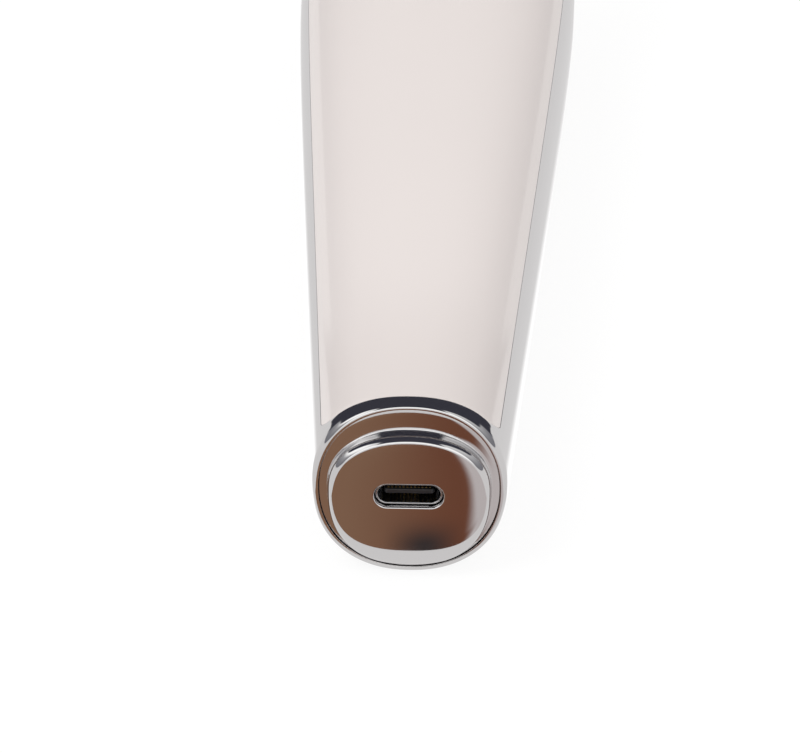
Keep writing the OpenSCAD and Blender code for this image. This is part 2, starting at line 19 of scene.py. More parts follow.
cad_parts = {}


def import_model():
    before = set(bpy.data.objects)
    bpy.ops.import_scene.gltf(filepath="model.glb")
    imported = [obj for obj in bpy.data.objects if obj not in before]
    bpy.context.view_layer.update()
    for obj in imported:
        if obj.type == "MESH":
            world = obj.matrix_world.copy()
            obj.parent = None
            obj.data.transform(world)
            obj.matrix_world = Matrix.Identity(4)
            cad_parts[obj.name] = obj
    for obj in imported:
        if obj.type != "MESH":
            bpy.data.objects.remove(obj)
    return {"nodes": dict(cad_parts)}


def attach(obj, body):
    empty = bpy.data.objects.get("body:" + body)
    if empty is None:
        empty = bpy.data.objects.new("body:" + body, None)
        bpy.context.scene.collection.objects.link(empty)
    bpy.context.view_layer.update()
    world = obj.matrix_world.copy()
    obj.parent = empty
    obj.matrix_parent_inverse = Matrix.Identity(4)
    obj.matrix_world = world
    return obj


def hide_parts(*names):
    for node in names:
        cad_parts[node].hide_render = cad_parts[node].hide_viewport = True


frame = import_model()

log = logging.getLogger("massager")

MM = 0.001
MID_Y = 92.9753  # The whole object's middle, from the foot rim
IMAGE_W, IMAGE_H = 800, 753
BODY = "housing"
WELD = 1e-7  # What lies closer than this is merged, in metres
SMALL = 1e-8
TAPS = ((-1.0, 1), (-0.5, 2), (0.0, 3), (0.5, 2), (1.0, 1))  # Places and weights of the soft mean
POWER_SPOT = (134.5, 4.6)  # A button's distance from the foot rim, and its radius
MODE_SPOT = (121.0, 3.4)
LENS_SPOT = (127.15, 8.0, 1.4)  # The light guide's distance, width and height


def world(x: float, y: float, z: float) -> Vector:
    """A point of the device, in metres in the row frame."""
    return Vector((x * MM, (y - MID_Y) * MM, z * MM))


def quarter(steps: int) -> list[float]:
    """Angles from 0 to 90 degrees in even steps, in radians."""
    return [math.pi / 2 * i / steps for i in range(steps + 1)]


def spaced(low: float, high: float, steps: int) -> list[float]:
    """Even places from low to high, both included."""
    return [low + (high - low) * i / steps for i in range(steps + 1)]


def crowded(steps: int) -> list[float]:
    """Shares from 0 to 1, closer together near both ends."""
    return [t - 0.08 * math.sin(2 * math.pi * t) for t in spaced(0, 1, steps)]


def oval_reach(angle: float, half_x: float, half_y: float, fullness: float) -> float:
    """How far an oval reaches from its middle.

    Args:
        angle: the polar angle, in radians.
        half_x: half its width.
        half_y: half its height.
        fullness: 2 for an ellipse, and more for a squarer form.

    Returns:
        The distance.
    """
    c, k = math.cos(angle), math.sin(angle)
    return (abs(c / half_x) ** fullness + abs(k / half_y) ** fullness) ** (-1 / fullness)


def slot_reach(angle: float, width: float, height: float) -> float:
    """How far a form with straight sides and round ends reaches from its middle.

    Args:
        angle: the polar angle, in radians.
        width: its width.
        height: its height.

    Returns:
        The distance.
    """
    half, r = (width - height) / 2, height / 2
    c, k = math.cos(angle), math.sin(angle)
    flat = r / abs(k) if k else math.inf
    if abs(flat * c) <= half:
        return flat
    end = half if c > 0 else -half
    return end * c + math.sqrt(max(0.0, r * r - (end * k) ** 2))


class Station(NamedTuple):
    """One cross-section of the body: its middle, its turn and its half sizes."""

    y: float
    z: float
    tilt: float
    half_x: float
    half_v: float
    fullness: float


@dataclass(frozen=True)
class BodyForm:
    """The outer surface of the body, from the foot rim to the end of the head's barrel."""

    foot_w: float = 25.9
    foot_d: float = 26.2
    neck_w: float = 43.6
    neck_d: float = 30.0
    length: float = 141.0
    foot_fullness: float = 2.2
    neck_fullness: float = 2.6
    ease: float = 24.0
    land_cut: float = 0.15
    head_r: float = 22.5
    turn: float = math.radians(52)
    bend_r: float = 32.0
    barrel: float = 4.5
    wall: float = 1.8
    soften: float = 6.0
    edge_round: float = 0.7
    edge_depth: float = 1.26
    cover_edge: float = 0.5
    sleeve_len: float = 2.0
    sleeve_sag: float = 1.4
    corner: float = 2.8
    corner_stretch: float = 1.2
    corner_inset: float = 0.9
    collar_share: float = 0.92

    @property
    def bend_end(self) -> float:
        """Length along the middle where the bend ends."""
        return self.length + self.bend_r * self.turn

    @property
    def end(self) -> float:
        """Length along the middle where the head's ring sits."""
        return self.bend_end + self.barrel

    @property
    def collar(self) -> float:
        """Length along the middle where the collar starts."""
        return self.length + self.collar_share * self.bend_r * self.turn

    def eased(self, y: float) -> float:
        """A length along the handle, which stops growing softly at the neck."""
        return (y + self.length - math.hypot(y - self.length, self.ease)) / 2

    def half_w(self, y: float) -> float:
        """Half width of the straight handle."""
        share = (self.eased(y) - self.eased(0)) / (self.eased(self.length) - self.eased(0))
        return self.foot_w / 2 + (self.neck_w - self.foot_w) / 2 * share

    def half_d(self, y: float) -> float:
        """Half depth of the straight handle."""
        return self.foot_d / 2 + (self.neck_d - self.foot_d) / 2 * y / self.length

    def front_z(self, y: float) -> float:
        """Height of the front's middle line over the straight handle."""
        return 2 * self.half_d(y) - self.land_cut

    def raw(self, s: float) -> Station:
        """The cross-section of the straight handle, the bend or the barrel.

        Args:
            s: the length along the middle, from the foot rim.

        Returns:
            The cross-section, with no softening.
        """
        if s <= self.length:
            d = self.half_d(s)
            change = self.neck_fullness - self.foot_fullness
            full = self.foot_fullness + change * s / self.length
            return Station(s, d - self.land_cut, 0.0, self.half_w(s), d, full)
        t = min(1.0, (s - self.length) / (self.bend_r * self.turn))
        a = t * self.turn
        past = max(0.0, s - self.bend_end)
        e = t ** 3 * (10 - 15 * t + 6 * t * t)  # From 0 to 1, level at both ends
        neck_d, neck_w = self.half_d(self.length), self.half_w(self.length)
        return Station(
            self.length + self.bend_r * math.sin(a) + past * math.cos(a),
            neck_d - self.land_cut + self.bend_r * (1 - math.cos(a)) + past * math.sin(a),
            a,
            neck_w + (self.head_r - neck_w) * e,
            neck_d + (self.head_r - neck_d) * e,
            self.neck_fullness + (2 - self.neck_fullness) * e,
        )

    @functools.cache
    def station(self, s: float) -> Station:
        """The cross-section, with the changes from straight to bend made soft.

        Args:
            s: the length along the middle, from the foot rim.

        Returns:
            The cross-section, a mean of those near it.
        """
        reach = max(0.0, min(self.soften, s, self.end - s))
        if reach < 0.01:
            return self.raw(s)
        rows = [(self.raw(s + reach * d), w) for d, w in TAPS]
        total = sum(w for _, w in TAPS)
        return Station(*(sum(r[i] * w for r, w in rows) / total for i in range(6)))

    def edge_angle(self, s: float, gap: float = 0.0) -> float:
        """Polar angle of a cover's long edge, above the middle plane.

        Args:
            s: the length along the middle.
            gap: how far the edge stands back.

        Returns:
            The angle, in radians.
        """
        st = self.station(s)
        v = self.cover_edge * st.half_v + gap
        return math.atan2(v, st.half_x * (1 - (v / st.half_v) ** st.fullness) ** (1 / st.fullness))

    def section(self, angle: float, s: float, inset: float = 0.0) -> tuple[float, float]:
        """A point of the cross-section.

        Args:
            angle: the polar angle.
            s: the length along the middle.
            inset: how much smaller the cross-section is.

        Returns:
            The places across and out of the front.
        """
        st = self.station(s)
        r = oval_reach(angle, st.half_x - inset, st.half_v - inset, st.fullness)
        return r * math.cos(angle), r * math.sin(angle)

    def point(self, angle: float, s: float, inset: float = 0.0) -> Vector:
        """A point of the surface, or of one inside it.

        Args:
            angle: the polar angle.
            s: the length along the middle.
            inset: how deep the point lies.

        Returns:
            The point, in metres and never under the floor.
        """
        st = self.station(s)
        x, v = self.section(angle, s, inset)
        z = max(0.0, st.z + v * math.cos(st.tilt))
        return world(x, st.y - v * math.sin(st.tilt), z)

    def angle_at(self, x: float, s: float, side: int) -> float:
        """Polar angle of the surface point over a place.

        Args:
            x: the place across.
            s: the length along the middle.
            side: 1 for the front, -1 for the back.

        Returns:
            The angle, in radians.
        """
        st = self.station(s)
        share = min(1.0, abs(x) / st.half_x)
        v = st.half_v * (1 - share ** st.fullness) ** (1 / st.fullness)
        return math.atan2(side * v, x)

    def arch(self, x: float, gap: float = 0.0) -> float:
        """Where a cover's lower end lies: an arch with rounded corners.

        Args:
            x: the place across.
            gap: how much further back the end lies.

        Returns:
            The length along the middle, from the foot rim.
        """
        flat = self.foot_w / 2 - self.corner_inset - self.corner
        bow = self.sleeve_len + self.sleeve_sag * (min(abs(x), flat) / (self.foot_w / 2 - 1)) ** 2
        sine = min(1.0, max(0.0, (abs(x) - flat) / self.corner))
        return bow + gap + self.corner_stretch * self.corner * (1 - math.sqrt(1 - sine * sine))

    def window_angle(self, u: float, s: float, side: int, gap: float = 0.0) -> float:
        """Polar angle of a share u across a cover's window, from its right edge to its left."""
        low = self.edge_angle(s, gap)
        return side * (low + u * (math.pi - 2 * low))

    @functools.cache
    def start(self, u: float, side: int, gap: float = 0.0) -> float:
        """Where a cover's lower end crosses a share of its window, found step by step.

        Args:
            u: the share across the cover's window.
            side: 1 for the front, -1 for the back.
            gap: how far the cover stands back from its window.

        Returns:
            The length along the middle.
        """
        s = 3.0
        for _ in range(16):
            s = self.arch(self.section(self.window_angle(u, s, side, gap), s)[0], gap)
        return s


class Mesh:
    """A bmesh that is being shaped, with the steps that several pieces share."""

    def __init__(self) -> None:
        """Starts with no geometry and with a layer that marks the inner wall."""
        self.bm = bmesh.new()
        self.deep = self.bm.verts.layers.int.new("deep")

    def sheet(self, columns: Sequence[float], rows: Sequence[float]) -> None:
        """Adds a flat sheet with a vertex at each pair of a column and a row.

        Args:
            columns: the places across.
            rows: the places along.
        """
        nx, ny = len(columns) - 1, len(rows) - 1
        made = bmesh.ops.create_grid(self.bm, x_segments=nx, y_segments=ny, size=1)
        for v in made["verts"]:
            i, j = round((v.co.x + 1) / 2 * nx), round((v.co.y + 1) / 2 * ny)
            v.co = (columns[i], rows[j], 0)

    def cut(self, inside: Callable[[Vector], bool]) -> None:
        """Deletes the faces whose middle is inside a region."""
        faces = [f for f in self.bm.faces if inside(f.calc_center_median())]
        bmesh.ops.delete(self.bm, geom=faces, context="FACES")

    def open_hole(self, centre: tuple[float, float], reach: tuple[float, float],
                  radius: float, half_len: float = 0.0) -> None:
        """Opens a round or long hole in a flat sheet, with rings of faces round it.

        Args:
            centre: the hole's middle.
            reach: half size of the block of faces that makes way.
            radius: the hole's radius, or a long hole's end radius.
            half_len: half distance between the middles of a long hole's ends.
        """
        cx, cy = centre
        block = [f for f in self.bm.faces if all(
            abs(v.co.x - cx) < reach[0] and abs(v.co.y - cy) < reach[1] for v in f.verts)]
        gone = set(block)
        rim = [e for f in block for e in f.edges if sum(g in gone for g in e.link_faces) == 1]
        bmesh.ops.delete(self.bm, geom=block, context="FACES_ONLY")
        moved = self.widen(rim)
        for v in moved:
            core = max(-half_len, min(half_len, v.co.x - cx))
            out = Vector((v.co.x - cx - core, v.co.y - cy)).normalized() * radius
            v.co = (cx + core + out.x, cy + out.y, 0)
        self.split_spokes(moved, 3)
        loose = [v for v in self.bm.verts if not v.link_faces]
        bmesh.ops.delete(self.bm, geom=loose, context="VERTS")

    def widen(self, rim: Sequence[bmesh.types.BMEdge]) -> list[bmesh.types.BMVert]:
        """Adds a ring of faces to a rim and returns its new vertices, still in the old places."""
        made = bmesh.ops.extrude_edge_only(self.bm, edges=list(dict.fromkeys(rim)))["geom"]
        return [v for v in made if isinstance(v, bmesh.types.BMVert)]

    def split_spokes(self, moved: Sequence[bmesh.types.BMVert], cuts: int) -> None:
        """Cuts the newest ring of faces into several.

        Args:
            moved: the ring's new vertices, in their places.
            cuts: the number of cuts.
        """
        ends = set(moved)
        spokes = [e for v in moved for e in v.link_edges if e.other_vert(v) not in ends]
        bmesh.ops.subdivide_edges(self.bm, edges=spokes, cuts=cuts, use_grid_fill=True)

    def double(self) -> None:
        """Makes the sheet a closed solid, joined along its borders to a copy marked deep."""
        made = bmesh.ops.extrude_face_region(self.bm, geom=self.bm.faces[:], use_keep_orig=True)
        for v in made["geom"]:
            if isinstance(v, bmesh.types.BMVert):
                v[self.deep] = 1

    def rings(self, rings: Sequence[Sequence[Vector]], closed: bool = True) -> None:
        """Adds a skin through rings that have as many points each.

        Args:
            rings: the points of each ring, in metres.
            closed: whether the last ring joins the first one.
        """
        spoke = self.bm.verts.layers.int.new("spoke")
        first = bmesh.ops.create_circle(self.bm, cap_ends=False, radius=1, segments=len(rings[0]))
        for i, v in enumerate(first["verts"]):
            v[spoke] = i
            v.co = rings[0][i]
        edges = list(dict.fromkeys(e for v in first["verts"] for e in v.link_edges))
        for ring in [*rings[1:], *(rings[:1] if closed else [])]:
            ends = self.widen(edges)
            for v in ends:
                v.co = ring[v[spoke]]
            newest = set(ends)
            around = dict.fromkeys(e for v in ends for e in v.link_edges)
            edges = [e for e in around if newest.issuperset(e.verts)]
        self.weld()

    def spin(self, profile: Sequence[tuple[float, float]], steps: int = 128) -> None:
        """Turns a profile of radius and height once round Z, in millimetres.

        Args:
            profile: the radius and height of each point.
            steps: the number of faces round.
        """
        verts = [self.bm.verts.new((r * MM, 0, h * MM)) for r, h in profile]
        edges = [self.bm.edges.new(pair) for pair in zip(verts, verts[1:] + verts[:1])]
        bmesh.ops.spin(self.bm, geom=verts + edges, cent=(0, 0, 0), axis=(0, 0, 1),
                       angle=2 * math.pi, steps=steps, use_merge=True)
        self.weld()

    def weld(self) -> None:
        """Merges what coincides and turns every face outwards."""
        bmesh.ops.remove_doubles(self.bm, verts=self.bm.verts[:], dist=WELD)
        bmesh.ops.dissolve_degenerate(self.bm, edges=self.bm.edges[:], dist=SMALL)
        bmesh.ops.recalc_face_normals(self.bm, faces=self.bm.faces[:])

    def close_ends(self) -> None:
        """Fills the open borders and turns every face outwards."""
        borders = [e for e in self.bm.edges if len(e.link_faces) == 1]
        bmesh.ops.holes_fill(self.bm, edges=borders, sides=0)
        bmesh.ops.recalc_face_normals(self.bm, faces=self.bm.faces[:])

    def take(self, other: "Mesh", offset: Sequence[float] = (0, 0, 0)) -> None:
        """Adds another mesh's geometry to this one.

        Args:
            other: the mesh that is used up.
            offset: how far its geometry moves, in metres.
        """
        bmesh.ops.translate(other.bm, vec=offset, verts=other.bm.verts[:])
        part = bpy.data.meshes.new("part")
        other.bm.to_mesh(part)
        other.bm.free()
        self.bm.from_mesh(part)
        bpy.data.meshes.remove(part)

    def block(self, middle: Vector, size: Sequence[float]) -> None:
        """Adds a block.

        Args:
            middle: its middle, in metres.
            size: its width, length and height, in millimetres.
        """
        scale = Matrix.Diagonal((*(side * MM for side in size), 1))
        bmesh.ops.create_cube(self.bm, size=1, matrix=Matrix.Translation(middle) @ scale)

    def soften(self, width: float, chosen: Callable[[bmesh.types.BMEdge], bool],
               segments: int = 3, sharp: float = 50) -> None:
        """Rounds the sharp edges that are chosen.

        Args:
            width: how far the rounding reaches, in millimetres.
            chosen: whether an edge is one of them.
            segments: faces across the rounding.
            sharp: the least angle of an edge, in degrees.
        """
        edges = [e for e in self.bm.edges if len(e.link_faces) == 2
                 and e.calc_face_angle() > math.radians(sharp) and chosen(e)]
        bmesh.ops.bevel(self.bm, geom=edges, offset=width * MM, offset_type="OFFSET", profile=0.5,
                        segments=segments, affect="EDGES", clamp_overlap=True, material=-1)

    def is_outer(self, edge: bmesh.types.BMEdge) -> bool:
        """Whether an edge lies on the outer wall."""
        return all(v[self.deep] == 0 for v in edge.verts)

    def piece(self, name: str, matrix: Matrix | None = None,
              weighted: bool = True) -> bpy.types.Object:
        """Ends the shaping and makes the object.

        Args:
            name: the piece's name.
            matrix: where the shape goes, if it isn't there yet.
            weighted: whether broad faces set the shading next to narrow ones.

        Returns:
            The new object, at the origin, with its place in its mesh.
        """
        if matrix is not None:
            bmesh.ops.transform(self.bm, matrix=matrix, verts=self.bm.verts[:])
        for f in self.bm.faces:
            f.smooth = True
        data = bpy.data.meshes.new(name)
        self.bm.to_mesh(data)
        self.bm.free()
        obj = bpy.data.objects.new(name, data)
        bpy.context.scene.collection.objects.link(obj)
        if weighted:
            shade = obj.modifiers.new("weighted", "WEIGHTED_NORMAL")
            shade.mode = "FACE_AREA"
            shade.weight = 100
        return obj


class Number:
    """A shader socket on which Python's arithmetic adds Math nodes."""

    def __init__(self, shader: "Shader", socket: bpy.types.NodeSocket) -> None:
        """Wraps a socket of a shader's tree."""
        self.shader, self.socket = shader, socket

    def join(self, operation: str, first: object, second: object = 0.0) -> "Number":
        """Adds one Math node.

        Args:
            operation: the node's operation.
            first: its first input.
            second: its second input.

        Returns:
            The node's output.
        """
        made = self.shader.node("ShaderNodeMath", {"operation": operation}, {0: first, 1: second})
        return Number(self.shader, made.outputs[0])

    def __add__(self, other: object) -> "Number":
        """The sum."""
        return self.join("ADD", self, other)

    __radd__ = __add__

    def __sub__(self, other: object) -> "Number":
        """The difference."""
        return self.join("SUBTRACT", self, other)

    def __rsub__(self, other: object) -> "Number":
        """The difference from a plain number."""
        return self.join("SUBTRACT", other, self)

    def __mul__(self, other: object) -> "Number":
        """The product."""
        return self.join("MULTIPLY", self, other)

    __rmul__ = __mul__

    def __truediv__(self, other: object) -> "Number":
        """The quotient."""
        return self.join("DIVIDE", self, other)

    def __rtruediv__(self, other: object) -> "Number":
        """A plain number divided by this."""
        return self.join("DIVIDE", other, self)

    def __pow__(self, other: object) -> "Number":
        """The power."""
        return self.join("POWER", self, other)

    def most(self, other: object) -> "Number":
        """The larger of the two."""
        return self.join("MAXIMUM", self, other)

    def sine(self) -> "Number":
        """Its sine."""
        return self.join("SINE", self)

    def size(self) -> "Number":
        """Its absolute value."""
        return self.join("ABSOLUTE", self)

    def above(self, low: float, high: float) -> "Number":
        """A soft step over this number.

        Args:
            low: where it is 0.
            high: where it is 1, which may lie below low.

        Returns:
            The step.
        """
        made = self.shader.node(
            "ShaderNodeMapRange", {"interpolation_type": "SMOOTHSTEP", "clamp": True},
            {"Value": self, "From Min": low, "From Max": high, "To Min": 0.0, "To Max": 1.0})
        return Number(self.shader, made.outputs[0])


class Shader:
    """A node tree with one way to add a node."""

    def __init__(self, tree: bpy.types.NodeTree) -> None:
        """Works on the given tree."""
        self.tree = tree

    def node(self, kind: str, settings: dict | None = None,
             inputs: dict | None = None) -> bpy.types.Node:
        """Adds a node.

        Args:
            kind: the node's type.
            settings: its properties, set first.
            inputs: values or links by a socket's name or number.

        Returns:
            The new node.
        """
        made = self.tree.nodes.new(kind)
        for name, value in (settings or {}).items():
            setattr(made, name, value)
        for name, value in (inputs or {}).items():
            self.feed(made.inputs[name], value)
        return made

    def feed(self, socket: bpy.types.NodeSocket, value: object) -> None:
        """Links a socket or sets its value.

        Args:
            socket: the input.
            value: a number, a socket or a plain value.
        """
        if isinstance(value, Number):
            value = value.socket
        if isinstance(value, bpy.types.NodeSocket):
            self.tree.links.new(value, socket)
        else:
            socket.default_value = value

    def number(self, socket: bpy.types.NodeSocket) -> Number:
        """A socket as a number."""
        return Number(self, socket)

    def place(self, kind: str = "Object") -> bpy.types.NodeSocket:
        """The place in the object's own coordinates, or in others that are named."""
        return self.node("ShaderNodeTexCoord").outputs[kind]

    def axes(self, place: bpy.types.NodeSocket) -> list[Number]:
        """The three parts of a place."""
        made = self.node("ShaderNodeSeparateXYZ", None, {0: place})
        return [self.number(part) for part in made.outputs]

    def glow(self, colour: object) -> bpy.types.NodeSocket:
        """A shader that gives off light of a colour."""
        return self.node("ShaderNodeEmission", None, {"Color": colour, "Strength": 1.0}).outputs[0]

    def rays(self) -> list[Number]:
        """Whether a ray is the camera's, a mirror's or one through glass."""
        path, kinds = self.node("ShaderNodeLightPath"), ("Camera", "Glossy", "Transmission")
        return [self.number(path.outputs[f"Is {kind} Ray"]) for kind in kinds]

    def blend(self, share: object, low: object, high: object) -> bpy.types.NodeSocket:
        """A shader between two others."""
        return self.node("ShaderNodeMixShader", None, {0: share, 1: low, 2: high}).outputs[0]

    def show(self, shader: bpy.types.NodeSocket) -> None:
        """Makes a shader what the material's surface shows."""
        self.feed(self.tree.nodes["Material Output"].inputs[0], shader)

    def mix(self, share: object, low: object, high: object) -> bpy.types.NodeSocket:
        """A colour between two others."""
        made = self.node("ShaderNodeMix", {"data_type": "RGBA"}, {0: share, 6: low, 7: high})
        return made.outputs[2]

    def noise(self, place: bpy.types.NodeSocket, scale: float, detail: float = 2.0,
              rough: float = 0.5) -> Number:
        """A soft noise.

        Args:
            place: the place, in metres.
            scale: its lumps in a metre.
            detail: how many finer layers it has.
            rough: how strong they are.

        Returns:
            The noise, from 0 to 1.
        """
        made = self.node("ShaderNodeTexNoise", {"noise_dimensions": "3D"},
                         {"Vector": place, "Scale": scale, "Detail": detail, "Roughness": rough})
        return self.number(made.outputs[0])


def new_material(name: str) -> tuple[bpy.types.Material, Shader]:
    """Starts a material.

    Args:
        name: its name.

    Returns:
        The material and the shader that its nodes are added with.
    """
    material = bpy.data.materials.new(name)
    material.use_nodes = True
    return material, Shader(material.node_tree)


class Pattern(Enum):
    """What a finish has on it beside its colour."""

    SMOOTH = "smooth"
    SPUN = "spun"
    BRUSHED = "brushed"
    BOARD = "board"
    WRAP = "wrap"


Colour = tuple[float, float, float]
GROOVE_PITCH = 0.00022  # Between the rings of a spun face, in metres
TRACK_PITCH = 0.0012  # Between the tracks of a circuit board, in metres


@dataclass(frozen=True)
class Finish:
    """How the surface of one material slot looks."""

    colour: Colour
    metallic: float = 0.0
    roughness: float = 0.4
    coat: float = 0.0
    tone: float = 0.03
    tone_scale: float = 60.0
    smudge: float = 0.04
    grain: float = 0.0
    grain_scale: float = 900.0
    pattern: Pattern = Pattern.SMOOTH
    subsurface: float = 0.0
    centre: tuple[float, float, float] = (0.0, 0.0, 0.0)


class FinishMaker:
    """Makes the procedural material of a finish."""

    def __init__(self, name: str, finish: Finish) -> None:
        """Starts a material with its main shader.

        Args:
            name: the material's name.
            finish: how it looks.
        """
        self.finish = finish
        self.material, self.shader = new_material(name)
        self.main = self.shader.tree.nodes["Principled BSDF"]
        self.place = self.shader.place()

    def shade(self, gain: float, lift: float = 0.0) -> tuple[float, ...]:
        """The finish's colour, made brighter or darker."""
        return (*(min(1.0, max(0.0, c * gain + lift)) for c in self.finish.colour), 1.0)

    def local(self, stretch: tuple[float, float, float] = (1, 1, 1)) -> bpy.types.NodeSocket:
        """The place measured from the finish's own centre."""
        inputs = {"Vector": self.place, "Location": self.finish.centre, "Scale": stretch}
        return self.shader.node("ShaderNodeMapping", {"vector_type": "TEXTURE"}, inputs).outputs[0]

    def radius(self) -> Number:
        """Distance from the finish's own axis, in metres."""
        x, y, _ = self.shader.axes(self.local())
        return (x * x + y * y) ** 0.5

    def height(self) -> Number | None:
        """The relief of the pattern or the grain, from 0 to 1.

        Returns:
            The relief, or None for a plain finish.
        """
        f, sh = self.finish, self.shader
        if f.pattern is Pattern.SPUN:
            grooves = (self.radius() * (2 * math.pi / GROOVE_PITCH)).sine()
            return grooves * 0.3 + sh.noise(self.place, 1500) * 0.4
        if f.pattern is Pattern.BRUSHED:
            return sh.noise(self.local((0.05, 1, 1)), 2500, 3)
        if f.pattern is Pattern.WRAP:
            return sh.noise(self.local((1, 3, 1)), 500, 3)
        if f.pattern is Pattern.BOARD:
            return self.traces()
        if f.grain:
            return sh.noise(self.place, f.grain_scale, 3, 0.6)
        return None

    def traces(self) -> Number:
        """Copper tracks of a circuit board: raised lines that step between two directions.

        Returns:
            The tracks, 1 where one runs.
        """
        sh = self.shader
        inputs = {"Vector": self.place, "Scale": 180.0}
        cell = sh.node("ShaderNodeTexVoronoi", {"feature": "F1"}, inputs)
        pick = sh.number(cell.outputs["Distance"]).above(0.42, 0.46)
        across, along = ((part * (2 * math.pi / TRACK_PITCH)).sine().above(0.45, 0.7)
                         for part in sh.axes(self.place)[:2])
        return across * pick + along * (1 - pick)

    def make(self) -> bpy.types.Material:
        """Builds the nodes.

        Returns:
            The material.
        """
        f, sh = self.finish, self.shader
        wander = sh.noise(self.place, f.tone_scale, 3)
        colour = sh.mix(wander, self.shade(1 - f.tone), self.shade(1 + f.tone))
        relief = self.height()
        if f.pattern is Pattern.BOARD:
            colour = sh.mix(relief, colour, self.shade(1.9, 0.03))
        cloud = sh.noise(self.place, 140, 4, 0.6)
        values = {
            "Base Color": colour, "Metallic": f.metallic,
            "Roughness": cloud * (2 * f.smudge) + max(0.0, f.roughness - f.smudge),
            "Coat Weight": f.coat, "Coat Roughness": 0.06,
            "Subsurface Weight": f.subsurface, "Subsurface Scale": 0.002,
            "Subsurface Radius": (1, 1, 1)}
        if relief is not None and f.grain:
            inputs = {"Height": relief, "Distance": f.grain * MM, "Strength": 1.0}
            values["Normal"] = sh.node("ShaderNodeBump", None, inputs).outputs[0]
        for name, value in values.items():
            sh.feed(self.main.inputs[name], value)
        return self.material


FINISHES: dict[str, Finish] = {
    "plated_frame": Finish((0.78, 0.77, 0.77), metallic=1, roughness=0.07, smudge=0.02, tone=0.02),
    "cover_gloss": Finish((0.71, 0.653, 0.632), roughness=0.30, coat=0.55, tone=0.012,
                          tone_scale=30,
                          grain=0.004, grain_scale=350),
    "button_metal": Finish((0.75, 0.75, 0.77), metallic=1, roughness=0.2, pattern=Pattern.SPUN,
                           grain=0.004),
    "socket_steel": Finish((0.55, 0.55, 0.56), metallic=1, roughness=0.22, grain=0.002,
                           grain_scale=3000),
    "tongue_black": Finish((0.02, 0.02, 0.022), roughness=0.32, grain=0.003, grain_scale=4000),
    # Darker than real gold: painted shade for the contacts deep in the socket; the head's contact
    # pins share this finish.
    "contact_gold": Finish((0.4, 0.28, 0.11), metallic=1, roughness=0.35, grain=0.002,
                           grain_scale=6000),
    "board_green": Finish((0.02, 0.12, 0.05), roughness=0.35, coat=0.3, pattern=Pattern.BOARD,
                          grain=0.02),
    "board_white": Finish((0.78, 0.78, 0.76), roughness=0.4, pattern=Pattern.BOARD, grain=0.015),
    "chassis_grey": Finish((0.26, 0.27, 0.28), roughness=0.5, grain=0.012, grain_scale=1600),
    "screw_steel": Finish((0.5, 0.5, 0.52), metallic=1, roughness=0.28, pattern=Pattern.BRUSHED,
                          grain=0.003),
    "cell_wrap": Finish((0.05, 0.16, 0.34), roughness=0.3, coat=0.3, pattern=Pattern.WRAP,
                        grain=0.03),
    "tab_nickel": Finish((0.62, 0.6, 0.55), metallic=1, roughness=0.35, pattern=Pattern.BRUSHED,
                         grain=0.004),
    "seal_rubber": Finish((0.03, 0.03, 0.032), roughness=0.65, grain=0.01, grain_scale=2500),
    "switch_black": Finish((0.025, 0.025, 0.028), roughness=0.45, grain=0.008, grain_scale=3000),
    "plunger_white": Finish((0.75, 0.75, 0.72), roughness=0.4, grain=0.005, grain_scale=3000),
    "lens_clear": Finish((0.86, 0.88, 0.9), roughness=0.28, subsurface=0.3, grain=0.004,
                         grain_scale=2600),
    "led_yellow": Finish((0.8, 0.68, 0.2), roughness=0.25, coat=0.5, tone=0.1, tone_scale=900),
    "motor_steel": Finish((0.6, 0.6, 0.61), metallic=1, roughness=0.3, pattern=Pattern.BRUSHED,
                          grain=0.004),
    "weight_metal": Finish((0.35, 0.33, 0.3), metallic=1, roughness=0.4, grain=0.015,
                           grain_scale=2500),
    "head_white": Finish((0.76, 0.74, 0.72), roughness=0.22, coat=0.6, grain=0.003,
                         grain_scale=1200),
    "electrode_steel": Finish((0.8, 0.8, 0.81), metallic=1, roughness=0.09, smudge=0.03, tone=0.02),
}


class Finishes:
    """The materials by slot, made when they are first asked for."""

    def __init__(self) -> None:
        """Starts with none."""
        self.made: dict[str, bpy.types.Material] = {}

    def get(self, slot: str) -> bpy.types.Material:
        """The common material of a slot.

        Args:
            slot: the record's material slot.

        Returns:
            Its material.
        """
        if slot not in self.made:
            self.made[slot] = FinishMaker(slot, FINISHES[slot]).make()
        return self.made[slot]

    def special(self, name: str, finish: Finish) -> bpy.types.Material:
        """A material whose pattern is centred on one piece."""
        return FinishMaker(name, finish).make()


@dataclass
class SubAssembly:
    """What every sub-assembly shares: the body's form, the finishes and the dressing of a piece."""

    form: BodyForm
    finishes: Finishes

    def dress(self, obj: bpy.types.Object, slot: str, nodes: Sequence[str], body: str = BODY,
              material: bpy.types.Material | None = None) -> bpy.types.Object:
        """Gives a piece its finish, its body and the nodes it stands for.

        Args:
            obj: the piece.
            slot: the record's material slot.
            nodes: the CAD nodes that it replaces.
            body: the body it moves with.
            material: its material, where it isn't the slot's common one.

        Returns:
            The piece.
        """
        obj.data.materials.clear()
        obj.data.materials.append(material or self.finishes.get(slot))
        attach(obj, body)
        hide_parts(*nodes)
        log.info("%s: %d faces, %s", obj.name, len(obj.data.polygons), slot)
        return obj


